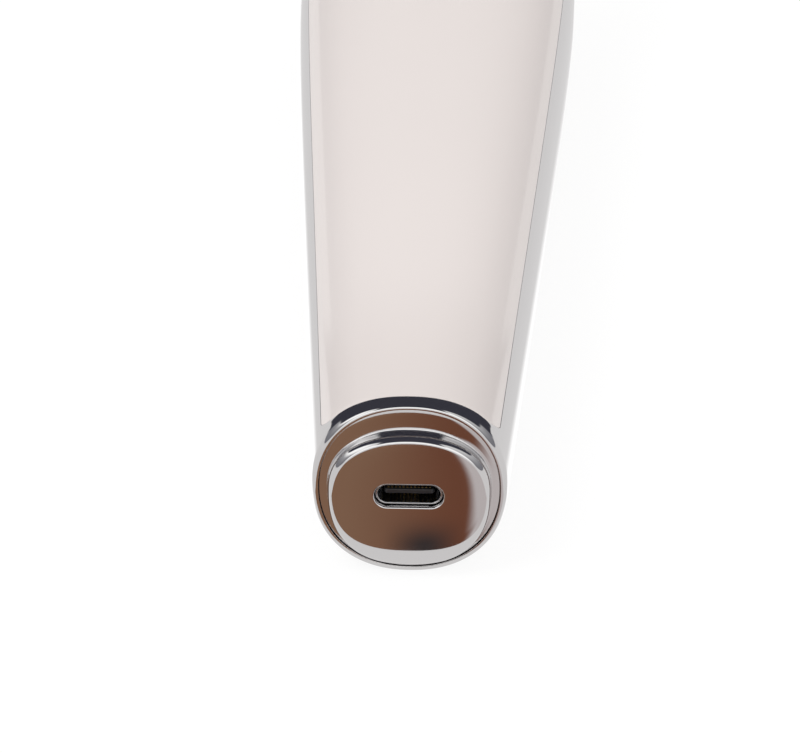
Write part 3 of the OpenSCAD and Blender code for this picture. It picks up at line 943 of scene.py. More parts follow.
@dataclass
class Housing(SubAssembly):
    """The plated side frame and the two inlaid covers."""

    seam: float = 0.03
    frame_edge: float = 0.05
    rim_edge: float = 0.05
    cover_round: float = 0.1
    cap_w: float = 24.2
    cap_h: float = 24.4
    cap_fullness: float = 2.15
    cap_skirt: float = 6.0
    window_steps: int = 72
    band_steps: int = 16
    skirt_blend: float = 1.5
    button_gap: float = 0.3
    lens_fit: float = 0.1
    buttons: tuple[tuple[float, float], ...] = (POWER_SPOT, MODE_SPOT)
    lens: tuple[float, float, float] = LENS_SPOT
    hole_reach: tuple[float, float] = (1.1, 0.9)
    lens_reach: float = 1.4
    controls_from: float = 109.0
    controls_to: float = 142.5
    arch_fade: float = 24.0
    rim_end: float = 0.02
    bosses: tuple[float, ...] = (18.0, 82.0, 131.0)

    def opening(self, angle: float, s: float) -> Vector:
        """A point of the wall in which the end cap sits.

        Args:
            angle: the polar angle.
            s: the distance from the foot rim.

        Returns:
            The point, in metres.
        """
        r = oval_reach(angle, self.cap_w / 2, self.cap_h / 2, self.cap_fullness)
        return world(r * math.cos(angle), s, self.form.station(0).z + r * math.sin(angle))

    def frame_place(self, q: float, k: float, deep: bool) -> Vector:
        """A point of the side frame.

        Args:
            q: how far round: 0 to 1 right band, to 2 front, to 3 left band, to 4 back.
            k: how far along: -1 to 0 rim, to 1 sleeve, to 2 bands, to 3 collar.
            deep: whether it is on the inner wall.

        Returns:
            The point, in metres.
        """
        form = self.form
        part = min(3, int(q))
        share = q - part
        side = -1 if part == 3 else 1
        across = {0: 0.0, 1: share, 2: 1.0, 3: 1 - share}[part]
        edge_s = form.start(0.0, 1)
        if k <= 0:
            s = form.edge_depth * (1 - math.cos((k + 1) * math.pi / 2))
        elif k <= 1:
            s = form.edge_depth + (form.start(across, side) - form.edge_depth) * k
        elif k <= 2:
            s = edge_s + (form.collar - edge_s) * (k - 1)
        else:
            s = form.collar + (form.end - form.collar) * (k - 2)
        low = form.edge_angle(s)
        marks = (-low, low, math.pi - low, math.pi + low, 2 * math.pi - low)
        angle = marks[part] + share * (marks[part + 1] - marks[part])
        if not deep:
            cut = 0.0
            if s < form.edge_depth:
                cut = form.edge_round * (1 - math.sqrt(1 - (1 - s / form.edge_depth) ** 2))
            return form.point(angle, s, cut)
        blend = min(1.0, max(0.0, (s - self.cap_skirt) / self.skirt_blend))
        inner = form.point(angle, s, form.wall)
        return self.opening(angle, s).lerp(inner, blend) if blend < 1 else inner

    def rows(self, start: float, end: float) -> list[float]:
        """Places along a cover or band, closer together at its start and at the controls.

        Args:
            start: the first place.
            end: the last place.

        Returns:
            The places, in order.
        """
        controls = [self.controls_from + 3, self.controls_from + 5.5]
        for y, r in sorted(self.buttons):
            controls += spaced(y - r - 0.8, y + r + 0.8, 14)
        controls += spaced(self.lens[0] - 1.3, self.lens[0] + 1.3, 4)
        places = [start, start + 0.8, start + 1.8, *spaced(start + 3, self.controls_from, 34)]
        return [*places, *sorted(controls), *spaced(self.controls_to, end, 34)]

    def side_frame(self) -> bpy.types.Object:
        """The foot sleeve, the side bands and the head's collar, as one piece.

        Returns:
            The dressed piece.
        """
        form, mesh = self.form, Mesh()
        edge_s = form.start(0.0, 1)
        band, window = spaced(0, 1, self.band_steps), crowded(self.window_steps)
        columns = [0.0]
        for part, shares in enumerate((band, window, band, window)):
            columns += [part + u for u in shares[1:]]
        along = [1 + (s - edge_s) / (form.collar - edge_s) for s in self.rows(edge_s, form.collar)]
        rows = [*spaced(-1, 0, 8), 0.35, 0.7, *along, *spaced(2, 3, 8)[1:]]
        mesh.sheet(columns, rows)
        mesh.cut(lambda c: 1 < c.y < 2 and (1 < c.x < 2 or 3 < c.x < 4))
        mesh.double()
        # The sheet's first and last columns are one line of the frame, so their walls go
        seam = [f for f in mesh.bm.faces if len({round(v.co.x, 5) for v in f.verts}) == 1
                and round(f.verts[0].co.x, 5) in (0, 4)]
        bmesh.ops.delete(mesh.bm, geom=seam, context="FACES_ONLY")
        for v in mesh.bm.verts:
            v.co = self.frame_place(v.co.x, v.co.y, v[mesh.deep] == 1)
        mesh.weld()
        rim_y = world(0, self.rim_end, 0).y
        mesh.soften(self.rim_edge, lambda e: all(v.co.y < rim_y for v in e.verts), 2)
        mesh.soften(self.frame_edge, lambda e: mesh.is_outer(e)
                    and any(v.co.y > rim_y for v in e.verts))
        return self.dress(mesh.piece("frame_shell"), "plated_frame", ["side_frame"])

    def cover(self, side: int, name: str, node: str) -> bpy.types.Object:
        """One glossy cover.

        Args:
            side: 1 for the front, -1 for the back.
            name: the piece's name.
            node: the CAD node that it stands for.

        Returns:
            The dressed piece.
        """
        form, mesh = self.form, Mesh()
        edge_s = form.start(0.0, side, self.seam)
        end = form.collar - self.seam
        mesh.sheet(crowded(self.window_steps), self.rows(edge_s, end))
        for v in mesh.bm.verts:
            u, s = v.co.x, v.co.y
            fade = max(0.0, 1 - (s - edge_s) / self.arch_fade) ** 2
            s += (form.start(u, side, self.seam) - edge_s) * fade
            x = form.section(form.window_angle(u, s, side, self.seam), s)[0]
            v.co = (x, s, 0)
        if side > 0:
            wide, long = self.hole_reach
            for y, r in self.buttons:
                mesh.open_hole((0, y), (r + wide, r + long), r + self.button_gap)
            y, w, h = self.lens
            mesh.open_hole((0, y), (w / 2 + wide, self.lens_reach), h / 2 + self.lens_fit,
                           (w - h) / 2)
        mesh.double()
        for v in mesh.bm.verts:
            x, s = v.co.x, v.co.y
            v.co = form.point(form.angle_at(x, s, side), s, form.wall * v[mesh.deep])
        mesh.weld()
        mesh.soften(self.cover_round, mesh.is_outer)
        if side < 0:
            self.add_bosses(mesh)
        return self.dress(mesh.piece(name), "cover_gloss", [node])

    def add_bosses(self, cover: Mesh) -> None:
        """Adds the screw bosses inside the back cover.

        Args:
            cover: the back cover's mesh.
        """
        profile = [(0.9, 1.65), (0.9, 4.2), (1.1, 4.4), (2.3, 4.4), (2.6, 4.1), (2.6, 1.2),
                   (0.9, 1.2)]
        for y in self.bosses:
            boss = Mesh()
            boss.spin(profile, 32)
            cover.take(boss, world(0, y, 0))

    def build(self) -> None:
        """Builds and dresses the frame and both covers."""
        self.side_frame()
        self.cover(1, "front_cover_gloss", "front_cover")
        self.cover(-1, "back_cover_gloss", "back_cover")


@dataclass
class FootEnd(SubAssembly):
    """The polished end cap and the charging socket in it."""

    ledge_w: float = 24.0
    ledge_h: float = 24.2
    ledge_fullness: float = 2.15
    ledge_y: float = 0.35
    ledge_round: float = 0.05
    skirt: float = 5.9
    rise: float = 1.8
    plateau_side: float = 10.9
    plateau_top: float = 8.9
    plateau_bottom: float = 11.6
    side_fillet: float = 1.1
    top_fillet: float = 0.9
    bottom_fillet: float = 3.5
    slot_w: float = 9.24
    slot_h: float = 3.5
    slot_bevel: float = 0.18
    slot_mouth: float = 1.0
    face_crown: float = 0.06
    seal_groove: tuple[float, float, float] = (3.4, 4.6, 0.7)
    cap_wall: float = 1.8
    cap_floor: float = 1.6
    tube_wall: float = 1.2
    spokes: int = 192
    mouth_y: float = -1.2
    shell_w: float = 8.94
    shell_h: float = 3.2
    shell_wall: float = 0.3
    shell_len: float = 7.3
    back_wall: float = 1.0
    tongue_w: float = 6.69
    tongue_t: float = 0.7
    tongue_gap: float = 0.7
    tongue_round: float = 0.14
    nose_round: float = 0.5
    block_t: float = 1.2
    block_fit: float = 0.62
    contact_count: int = 12
    contact_pitch: float = 0.5
    contact_gap: float = 1.1
    contact_size: tuple[float, float, float] = (0.26, 3.2, 0.06)

    @property
    def z(self) -> float:
        """Height of the foot's middle."""
        return self.form.station(0).z

    def angles(self) -> list[float]:
        """Polar angles of the spokes."""
        return [2 * math.pi * (i + 0.5) / self.spokes for i in range(self.spokes)]

    def ring(self, y: float, reach: Callable[[float], float]) -> list[Vector]:
        """A ring of points round the foot's middle line.

        Args:
            y: its depth.
            reach: gives its distance from the middle at a polar angle.

        Returns:
            Its points, in metres.
        """
        points = []
        for a in self.angles():
            r = reach(a)
            points.append(world(r * math.cos(a), y, self.z + r * math.sin(a)))
        return points

    def stadium(self, width: float, height: float, y: float) -> list[Vector]:
        """A ring with round ends, as wide and high as said, at a depth y."""
        return self.ring(y, lambda a: slot_reach(a, width, height))

    def ledge(self, y: float, cut: float = 0.0) -> list[Vector]:
        """A ring of the ledge's outline, drawn in by a cut, at a depth y."""
        half_x, half_z = self.ledge_w / 2 - cut, self.ledge_h / 2 - cut
        return self.ring(y, lambda a: oval_reach(a, half_x, half_z, self.ledge_fullness))

    def plateau_reach(self, angle: float, inset: float) -> float:
        """How far the plateau reaches from the middle.

        Args:
            angle: the polar angle.
            inset: the share of its rounding that is cut off.

        Returns:
            The distance.
        """
        up = math.sin(angle)
        tall = (self.plateau_top - self.top_fillet * inset if up > 0
                else self.plateau_bottom - self.bottom_fillet * inset)
        fullness = 2.2 + 0.25 * (0.5 - 0.5 * up)
        return oval_reach(angle, self.plateau_side - self.side_fillet * inset, tall, fullness)

    def plateau(self, t: float) -> list[Vector]:
        """A ring of the plateau's rounding.

        Args:
            t: 0 at the ledge and 1 where the face starts.

        Returns:
            Its points, in metres.
        """
        inset = 1 - math.sqrt(max(0.0, 1 - t * t))
        depth = -self.rise * (1 - self.face_crown) * t
        return self.ring(depth, lambda a: self.plateau_reach(a, inset))

    def cap(self) -> bpy.types.Object:
        """The end cap, from the slot's wall over the face, plateau and ledge to the skirt.

        Returns:
            The dressed piece.
        """
        rings = [self.stadium(self.slot_w, self.slot_h, y) for y in (self.skirt, self.slot_mouth)]
        for a in quarter(3):
            grow = 2 * self.slot_bevel * (1 - math.cos(a))
            depth = -self.rise + self.slot_bevel * (1 - math.sin(a))
            rings.append(self.stadium(self.slot_w + grow, self.slot_h + grow, depth))
        start, edge = rings[-1], self.plateau(1.0)
        for share in (0.02, 0.06, 0.14, 0.28, 0.44, 0.6, 0.74, 0.86, 0.94):
            row = [a.lerp(b, share) for a, b in zip(start, edge)]
            level = world(0, -self.rise + self.rise * self.face_crown * share ** 5, 0).y
            rings.append([Vector((p.x, level, p.z)) for p in row])
        rings += [self.plateau(math.sin(a)) for a in reversed(quarter(14))]
        foot = rings[-1]
        corner = [Vector((p.x, world(0, self.ledge_y, 0).y, p.z)) for p in foot]
        rings.append([a.lerp(b, 0.9) for a, b in zip(foot, corner)])
        inner = self.ledge(self.ledge_y, self.ledge_round)
        for share in (0.08, 0.35, 0.7, 1.0):
            rings.append([a.lerp(b, share) for a, b in zip(corner, inner)])
        for a in quarter(3)[1:]:
            rings.append(self.ledge(self.ledge_y + self.ledge_round * (1 - math.cos(a)),
                                    self.ledge_round * (1 - math.sin(a))))
        near, far, deep = self.seal_groove
        for y, cut in ((near, 0), (near, deep), (far, deep), (far, 0), (self.skirt, 0),
                       (self.skirt, self.cap_wall), (self.cap_floor, self.cap_wall)):
            rings.append(self.ledge(y, cut))
        width, height = self.slot_w + 2 * self.tube_wall, self.slot_h + 2 * self.tube_wall
        rings += [self.stadium(width, height, y) for y in (self.cap_floor, self.skirt)]
        mesh = Mesh()
        mesh.rings(rings)
        return self.dress(mesh.piece("end_cap_polished"), "plated_frame", ["end_cap"])

    def shell(self) -> bpy.types.Object:
        """The socket's metal shell with its rolled mouth and closed back.

        Returns:
            The dressed piece.
        """
        w, h, t = self.shell_w, self.shell_h, self.shell_wall
        back, r = self.mouth_y + self.shell_len, self.shell_wall / 2
        rings = [self.stadium(w, h, back)]
        for a in spaced(0, math.pi, 8):
            grow = 2 * (r - r * math.cos(a))
            rings.append(self.stadium(w - grow, h - grow, self.mouth_y + r - r * math.sin(a)))
        for inset in (2 * t, 2 * t + 1):
            rings.append(self.stadium(w - inset, h - inset, back - self.back_wall))
        mesh = Mesh()
        mesh.rings(rings, closed=False)
        mesh.close_ends()
        return self.dress(mesh.piece("socket_shell"), "socket_steel", ["usb_socket"])

    def tongue(self) -> bpy.types.Object:
        """The socket's tongue, thin at its nose, on a block that fills the shell's back.

        Returns:
            The dressed piece.
        """
        y0, y1 = self.mouth_y + self.tongue_gap, self.mouth_y + self.shell_len - self.back_wall
        mesh, rear = Mesh(), Mesh()
        mesh.block(world(0, (y0 + y1) / 2, self.z), (self.tongue_w, y1 - y0, self.tongue_t))
        nose = world(0, y0 + 0.1, 0).y
        mesh.soften(self.nose_round, lambda e: all(v.co.y < nose for v in e.verts)
                    and abs(e.verts[0].co.z - e.verts[1].co.z) > 0.1 * MM, 5)
        mesh.soften(self.tongue_round, lambda e: True, 3, 60)
        width, height = self.shell_w - self.block_fit, self.shell_h - self.block_fit
        rear.rings([self.stadium(width, height, y) for y in (y1 - self.block_t, y1)], closed=False)
        rear.close_ends()
        mesh.take(rear)
        return self.dress(mesh.piece("socket_tongue"), "tongue_black", ["usb_tongue"])

    def contacts(self) -> bpy.types.Object:
        """The contact strips on both faces of the tongue.

        Returns:
            The dressed piece.
        """
        mesh = Mesh()
        _, length, height = self.contact_size
        y = self.mouth_y + self.contact_gap + length / 2
        for i in range(self.contact_count):
            x = (i - (self.contact_count - 1) / 2) * self.contact_pitch
            for side in (-1, 1):
                z = self.z + side * (self.tongue_t + height) / 2
                mesh.block(world(x, y, z), self.contact_size)
        mesh.soften(0.02, lambda e: True, 2)
        return self.dress(mesh.piece("socket_contacts"), "contact_gold", ["usb_contacts"])

    def build(self) -> None:
        """Builds and dresses the cap and the socket."""
        self.cap()
        self.shell()
        self.tongue()
        self.contacts()


@dataclass
class Controls(SubAssembly):
    """The two buttons and the lens between them."""

    proud: float = 0.5
    board_top: float = 20.6
    switch_h: float = 3.0
    flange_t: float = 1.0
    flange_lip: float = 1.0
    flange_drop: float = 0.5
    chamfer: float = 0.1
    stem_r: float = 1.8
    stem_gap: float = 0.6
    crown: float = 0.5
    dish: float = 0.22
    lens_spot: tuple[float, float, float] = LENS_SPOT
    lens_gap: float = 1.0
    lens_proud: float = 0.05
    lens_round: float = 0.18
    lip_drop: float = 1.2
    lip_out: float = 0.25
    lip_t: float = 1.0
    lip_edge: float = 0.05
    lens_steps: int = 64

    def button(self, name: str, node: str, y: float, r: float) -> bpy.types.Object:
        """A pressed button with a dished, spun top.

        Args:
            name: the piece's name.
            node: the CAD node, which is also its body's name.
            y: its distance from the foot rim.
            r: its radius.

        Returns:
            The dressed piece.
        """
        top = self.form.front_z(y) + self.proud
        under = self.form.front_z(y) - self.form.wall - self.flange_drop
        low = self.board_top + self.switch_h + self.stem_gap
        crown = self.crown
        lip = r - crown
        profile = [(0.0, top - self.dish)]
        for share in (0.2, 0.4, 0.6, 0.75, 0.85, 0.92, 0.97):
            profile.append((lip * share, top - self.dish * (1 - share ** 2) ** 1.5))
        for a in reversed(quarter(6)):
            profile.append((lip + crown * math.cos(a), top - crown + crown * math.sin(a)))
        wide, bottom, cut = r + self.flange_lip, under - self.flange_t, self.chamfer
        profile += [(r, under + cut), (r + cut, under), (wide - cut, under), (wide, under - cut),
                    (wide, bottom + cut), (wide - cut, bottom), (self.stem_r, bottom),
                    (self.stem_r, low + cut), (self.stem_r - cut, low), (0.0, low)]
        mesh = Mesh()
        mesh.spin(profile)
        centre = world(0, y, 0)
        finish = replace(FINISHES["button_metal"], centre=tuple(centre))
        obj = mesh.piece(name, Matrix.Translation(centre))
        return self.dress(obj, "button_metal", [node], node, self.finishes.special(name, finish))

    def lens_ring(self, grow: float, z: float) -> list[Vector]:
        """A ring of the light guide's outline.

        Args:
            grow: how much wider it is all round.
            z: its height.

        Returns:
            Its points, in metres.
        """
        y, width, height = self.lens_spot
        half, r = (width - height) / 2, height / 2 + grow
        points = []
        for i in range(self.lens_steps):
            a = 2 * math.pi * (i + 0.5) / self.lens_steps
            core = math.copysign(half, math.cos(a))
            points.append(world(core + r * math.cos(a), y + r * math.sin(a), z))
        return points

    def lens(self) -> bpy.types.Object:
        """The light guide, with a low crown over its length and a lip inside the cover.

        Returns:
            The dressed piece.
        """
        front = self.form.front_z(self.lens_spot[0])
        foot, top = self.board_top + self.lens_gap, front + self.lens_proud
        lip = front - self.form.wall - self.lip_drop
        out, high, edge = self.lip_out, lip + self.lip_t, self.lip_edge
        levels = [(-self.chamfer, foot), (0, foot + self.chamfer), (0, lip), (out - edge, lip),
                  (out, lip + edge), (out, high - edge), (out - edge, high), (0, high)]
        for a in quarter(4):
            bend = self.lens_round
            levels.append((-bend * (1 - math.cos(a)), top - bend + bend * math.sin(a)))
        levels.append((-0.45, top + 0.02))
        mesh = Mesh()
        mesh.rings([self.lens_ring(grow, z) for grow, z in levels], closed=False)
        mesh.close_ends()
        return self.dress(mesh.piece("lens_guide"), "lens_clear", ["indicator_lens"])

    def build(self) -> None:
        """Builds and dresses the buttons and the lens."""
        self.button("power_button_metal", "power_button", *POWER_SPOT)
        self.button("mode_button_metal", "mode_button", *MODE_SPOT)
        self.lens()


@dataclass
class Head(SubAssembly):
    """The treatment head: polished ring, light ring, plate and electrodes."""

    fit: float = 0.1
    ring_h: float = 2.4
    ring_round: float = 1.1
    bezel_r: float = 18.6
    bezel_round: float = 0.6
    plate_r: float = 14.6
    plate_h: float = 2.2
    plate_dome: float = 0.5
    plate_edge: float = 0.12
    under: float = -0.4
    skirt_d: float = 2.0
    skirt_t: float = 1.5
    skirt_edge: float = 0.2
    electrode_r: float = 3.4
    electrode_ring_r: float = 8.4
    electrode_rise: float = 1.4
    electrode_dome: float = 0.9
    electrode_n: int = 4
    hole_steps: int = 64

    def seat(self) -> Matrix:
        """Where the head sits: its Z axis points out of the treatment face.

        Returns:
            The place and turn.
        """
        st = self.form.station(self.form.end)
        bent, upright = (Matrix.Rotation(a, 4, "X") for a in (self.form.turn, -math.pi / 2))
        return Matrix.Translation(world(0, st.y, st.z)) @ bent @ upright

    def ring(self) -> bpy.types.Object:
        """The polished ring with its skirt.

        Returns:
            The dressed piece.
        """
        f, out = self.ring_round, self.form.head_r
        skirt = out - self.form.wall - self.fit
        inside, low, cut = skirt - self.skirt_t, -self.skirt_d, self.skirt_edge
        profile = [(self.bezel_r, 0.0), (inside, 0.0), (inside, low), (skirt - cut, low),
                   (skirt, low + cut), (skirt, 0.01), (out - 0.12, 0.01), (out - 0.035, 0.045),
                   (out, 0.13)]
        for a in quarter(10):
            profile.append((out - f + f * math.cos(a), self.ring_h - f + f * math.sin(a)))
        b = self.bezel_round
        for a in reversed(quarter(6)):
            profile.append((self.bezel_r + b - b * math.cos(a), self.ring_h - b + b * math.sin(a)))
        mesh = Mesh()
        mesh.spin(profile, 192)
        obj = mesh.piece("head_ring_polished", self.seat())
        return self.dress(obj, "plated_frame", ["head_ring"])

    def light(self) -> bpy.types.Object:
        """The frosted ring that the light comes through, low and rounded.

        Returns:
            The dressed piece.
        """
        inner, outer = self.plate_r + self.fit, self.bezel_r - self.fit
        profile = [(inner, self.under), (outer, self.under), (outer, self.ring_h - 1.05)]
        middle, half = (inner + outer) / 2, (outer - inner) / 2
        for share in spaced(1, -1, 14):
            lift = 0.34 * (1 - share * share) ** 0.5
            profile.append((middle + half * share, self.ring_h - 0.98 + lift + 0.06 * (1 - share)))
        mesh = Mesh()
        mesh.spin(profile, 192)
        obj = mesh.piece("light_ring_frosted", self.seat())
        return self.dress(obj, "lens_clear", ["light_ring"])

    def crown(self, x: float, y: float) -> float:
        """Height of the plate's low dome."""
        return self.plate_h + self.plate_dome * (1 - (x * x + y * y) / self.plate_r ** 2)

    def plate(self) -> bpy.types.Object:
        """The plate, made of one wedge for each electrode, with a round opening in each.

        Returns:
            The dressed piece.
        """
        mesh = Mesh()
        wedge = 2 * math.pi / self.electrode_n
        away, hole = self.electrode_ring_r, self.electrode_r + self.fit
        middle = (away * math.cos(wedge / 2), away * math.sin(wedge / 2))
        for k in range(self.electrode_n):
            made = bmesh.ops.create_circle(mesh.bm, cap_ends=False, radius=hole,
                                           segments=self.hole_steps)
            bmesh.ops.translate(mesh.bm, vec=(*middle, 0), verts=made["verts"])
            moved = mesh.widen([e for v in made["verts"] for e in v.link_edges])
            for v in moved:
                out = Vector((v.co.x - middle[0], v.co.y - middle[1]))
                v.co = self.wedge_point(out, middle, wedge)
            for angle, r in ((0, 0), (0, self.plate_r), (wedge, self.plate_r)):
                corner = Vector((r * math.cos(angle), r * math.sin(angle), 0))
                min(moved, key=lambda v: (v.co - corner).length).co = corner
            mesh.split_spokes(moved, 5)
            part = [v for v in mesh.bm.verts if not v.tag]
            turn = Matrix.Rotation(wedge * k, 3, "Z")
            bmesh.ops.rotate(mesh.bm, cent=(0, 0, 0), matrix=turn, verts=part)
            for v in part:
                v.tag = True
        bmesh.ops.remove_doubles(mesh.bm, verts=mesh.bm.verts[:], dist=1e-3)
        mesh.double()
        for v in mesh.bm.verts:
            x, y = v.co.x, v.co.y
            v.co = (x * MM, y * MM, (self.under if v[mesh.deep] else self.crown(x, y)) * MM)
        mesh.weld()
        mesh.soften(self.plate_edge, mesh.is_outer)
        obj = mesh.piece("head_plate_white", self.seat())
        return self.dress(obj, "head_white", ["head_plate"])

    def wedge_point(self, out: Vector, middle: tuple[float, float], wedge: float) -> Vector:
        """Where a ray from a hole's middle meets the border of the plate's wedge.

        Args:
            out: the ray's direction.
            middle: the hole's middle.
            wedge: the wedge's angle, from the X axis.

        Returns:
            The border point.
        """
        out = out.normalized()
        start = Vector(middle)
        hits = []
        for normal in (Vector((0, -1)), Vector((-math.sin(wedge), math.cos(wedge)))):
            speed = out.dot(normal)
            if speed > 1e-9:
                hits.append(-start.dot(normal) / speed)
        b, c = start.dot(out), start.length_squared - self.plate_r ** 2
        hits.append(-b + math.sqrt(b * b - c))
        reached = start + out * min(h for h in hits if h > 0)
        return Vector((reached.x, reached.y, 0))

    def electrodes(self) -> bpy.types.Object:
        """The polished domes.

        Returns:
            The dressed piece.
        """
        r, rise = self.electrode_r, self.electrode_dome
        ball = (r * r + rise * rise) / (2 * rise)
        top = self.plate_h + self.electrode_rise
        profile = [(0.0, self.under), (r - 0.1, self.under), (r, self.under + 0.1),
                   (r, top - rise - 0.12), (r - 0.03, top - rise)]
        for share in (0.97, 0.93, 0.85, 0.74, 0.6, 0.45, 0.3, 0.15, 0.0):
            x = r * share
            profile.append((x, top - ball + math.sqrt(ball * ball - x * x)))
        mesh = Mesh()
        for k in range(self.electrode_n):
            dome = Mesh()
            dome.spin(profile, 96)
            angle = 2 * math.pi * (k + 0.5) / self.electrode_n
            out = Vector((math.cos(angle), math.sin(angle), 0))
            mesh.take(dome, out * (self.electrode_ring_r * MM))
        obj = mesh.piece("electrode_domes", self.seat())
        return self.dress(obj, "electrode_steel", ["electrodes"])

    def build(self) -> None:
        """Builds and dresses the head's outer pieces."""
        self.ring()
        self.light()
        self.plate()
        self.electrodes()


@dataclass
class Insides(SubAssembly):
    """The pieces inside the body, which keep the CAD nodes' shapes."""

    slots: dict[str, str] = field(default_factory=lambda: {
        "end_cap_seal": "seal_rubber", "usb_board": "board_green", "chassis": "chassis_grey",
        "chassis_screws": "screw_steel", "battery": "cell_wrap", "battery_tabs": "tab_nickel",
        "main_board": "board_green", "board_screws": "screw_steel", "power_switch": "switch_black",
        "power_switch_plunger": "plunger_white", "mode_switch": "switch_black",
        "mode_switch_plunger": "plunger_white", "indicator_leds": "led_yellow",
        "vibration_motor": "motor_steel", "motor_shaft": "screw_steel",
        "motor_weight": "weight_metal",
        "motor_sleeve": "seal_rubber", "head_base": "chassis_grey", "head_seal": "seal_rubber",
        "led_board": "board_white", "led_chips": "led_yellow", "contact_pins": "contact_gold",
        "head_screws": "screw_steel",
    })

    def build(self) -> None:
        """Gives each carried-over node its finish."""
        for name, slot in self.slots.items():
            data = frame["nodes"][name].data
            data.materials.clear()
            data.materials.append(self.finishes.get(slot))
            log.info("%s keeps its shape, %s", name, slot)


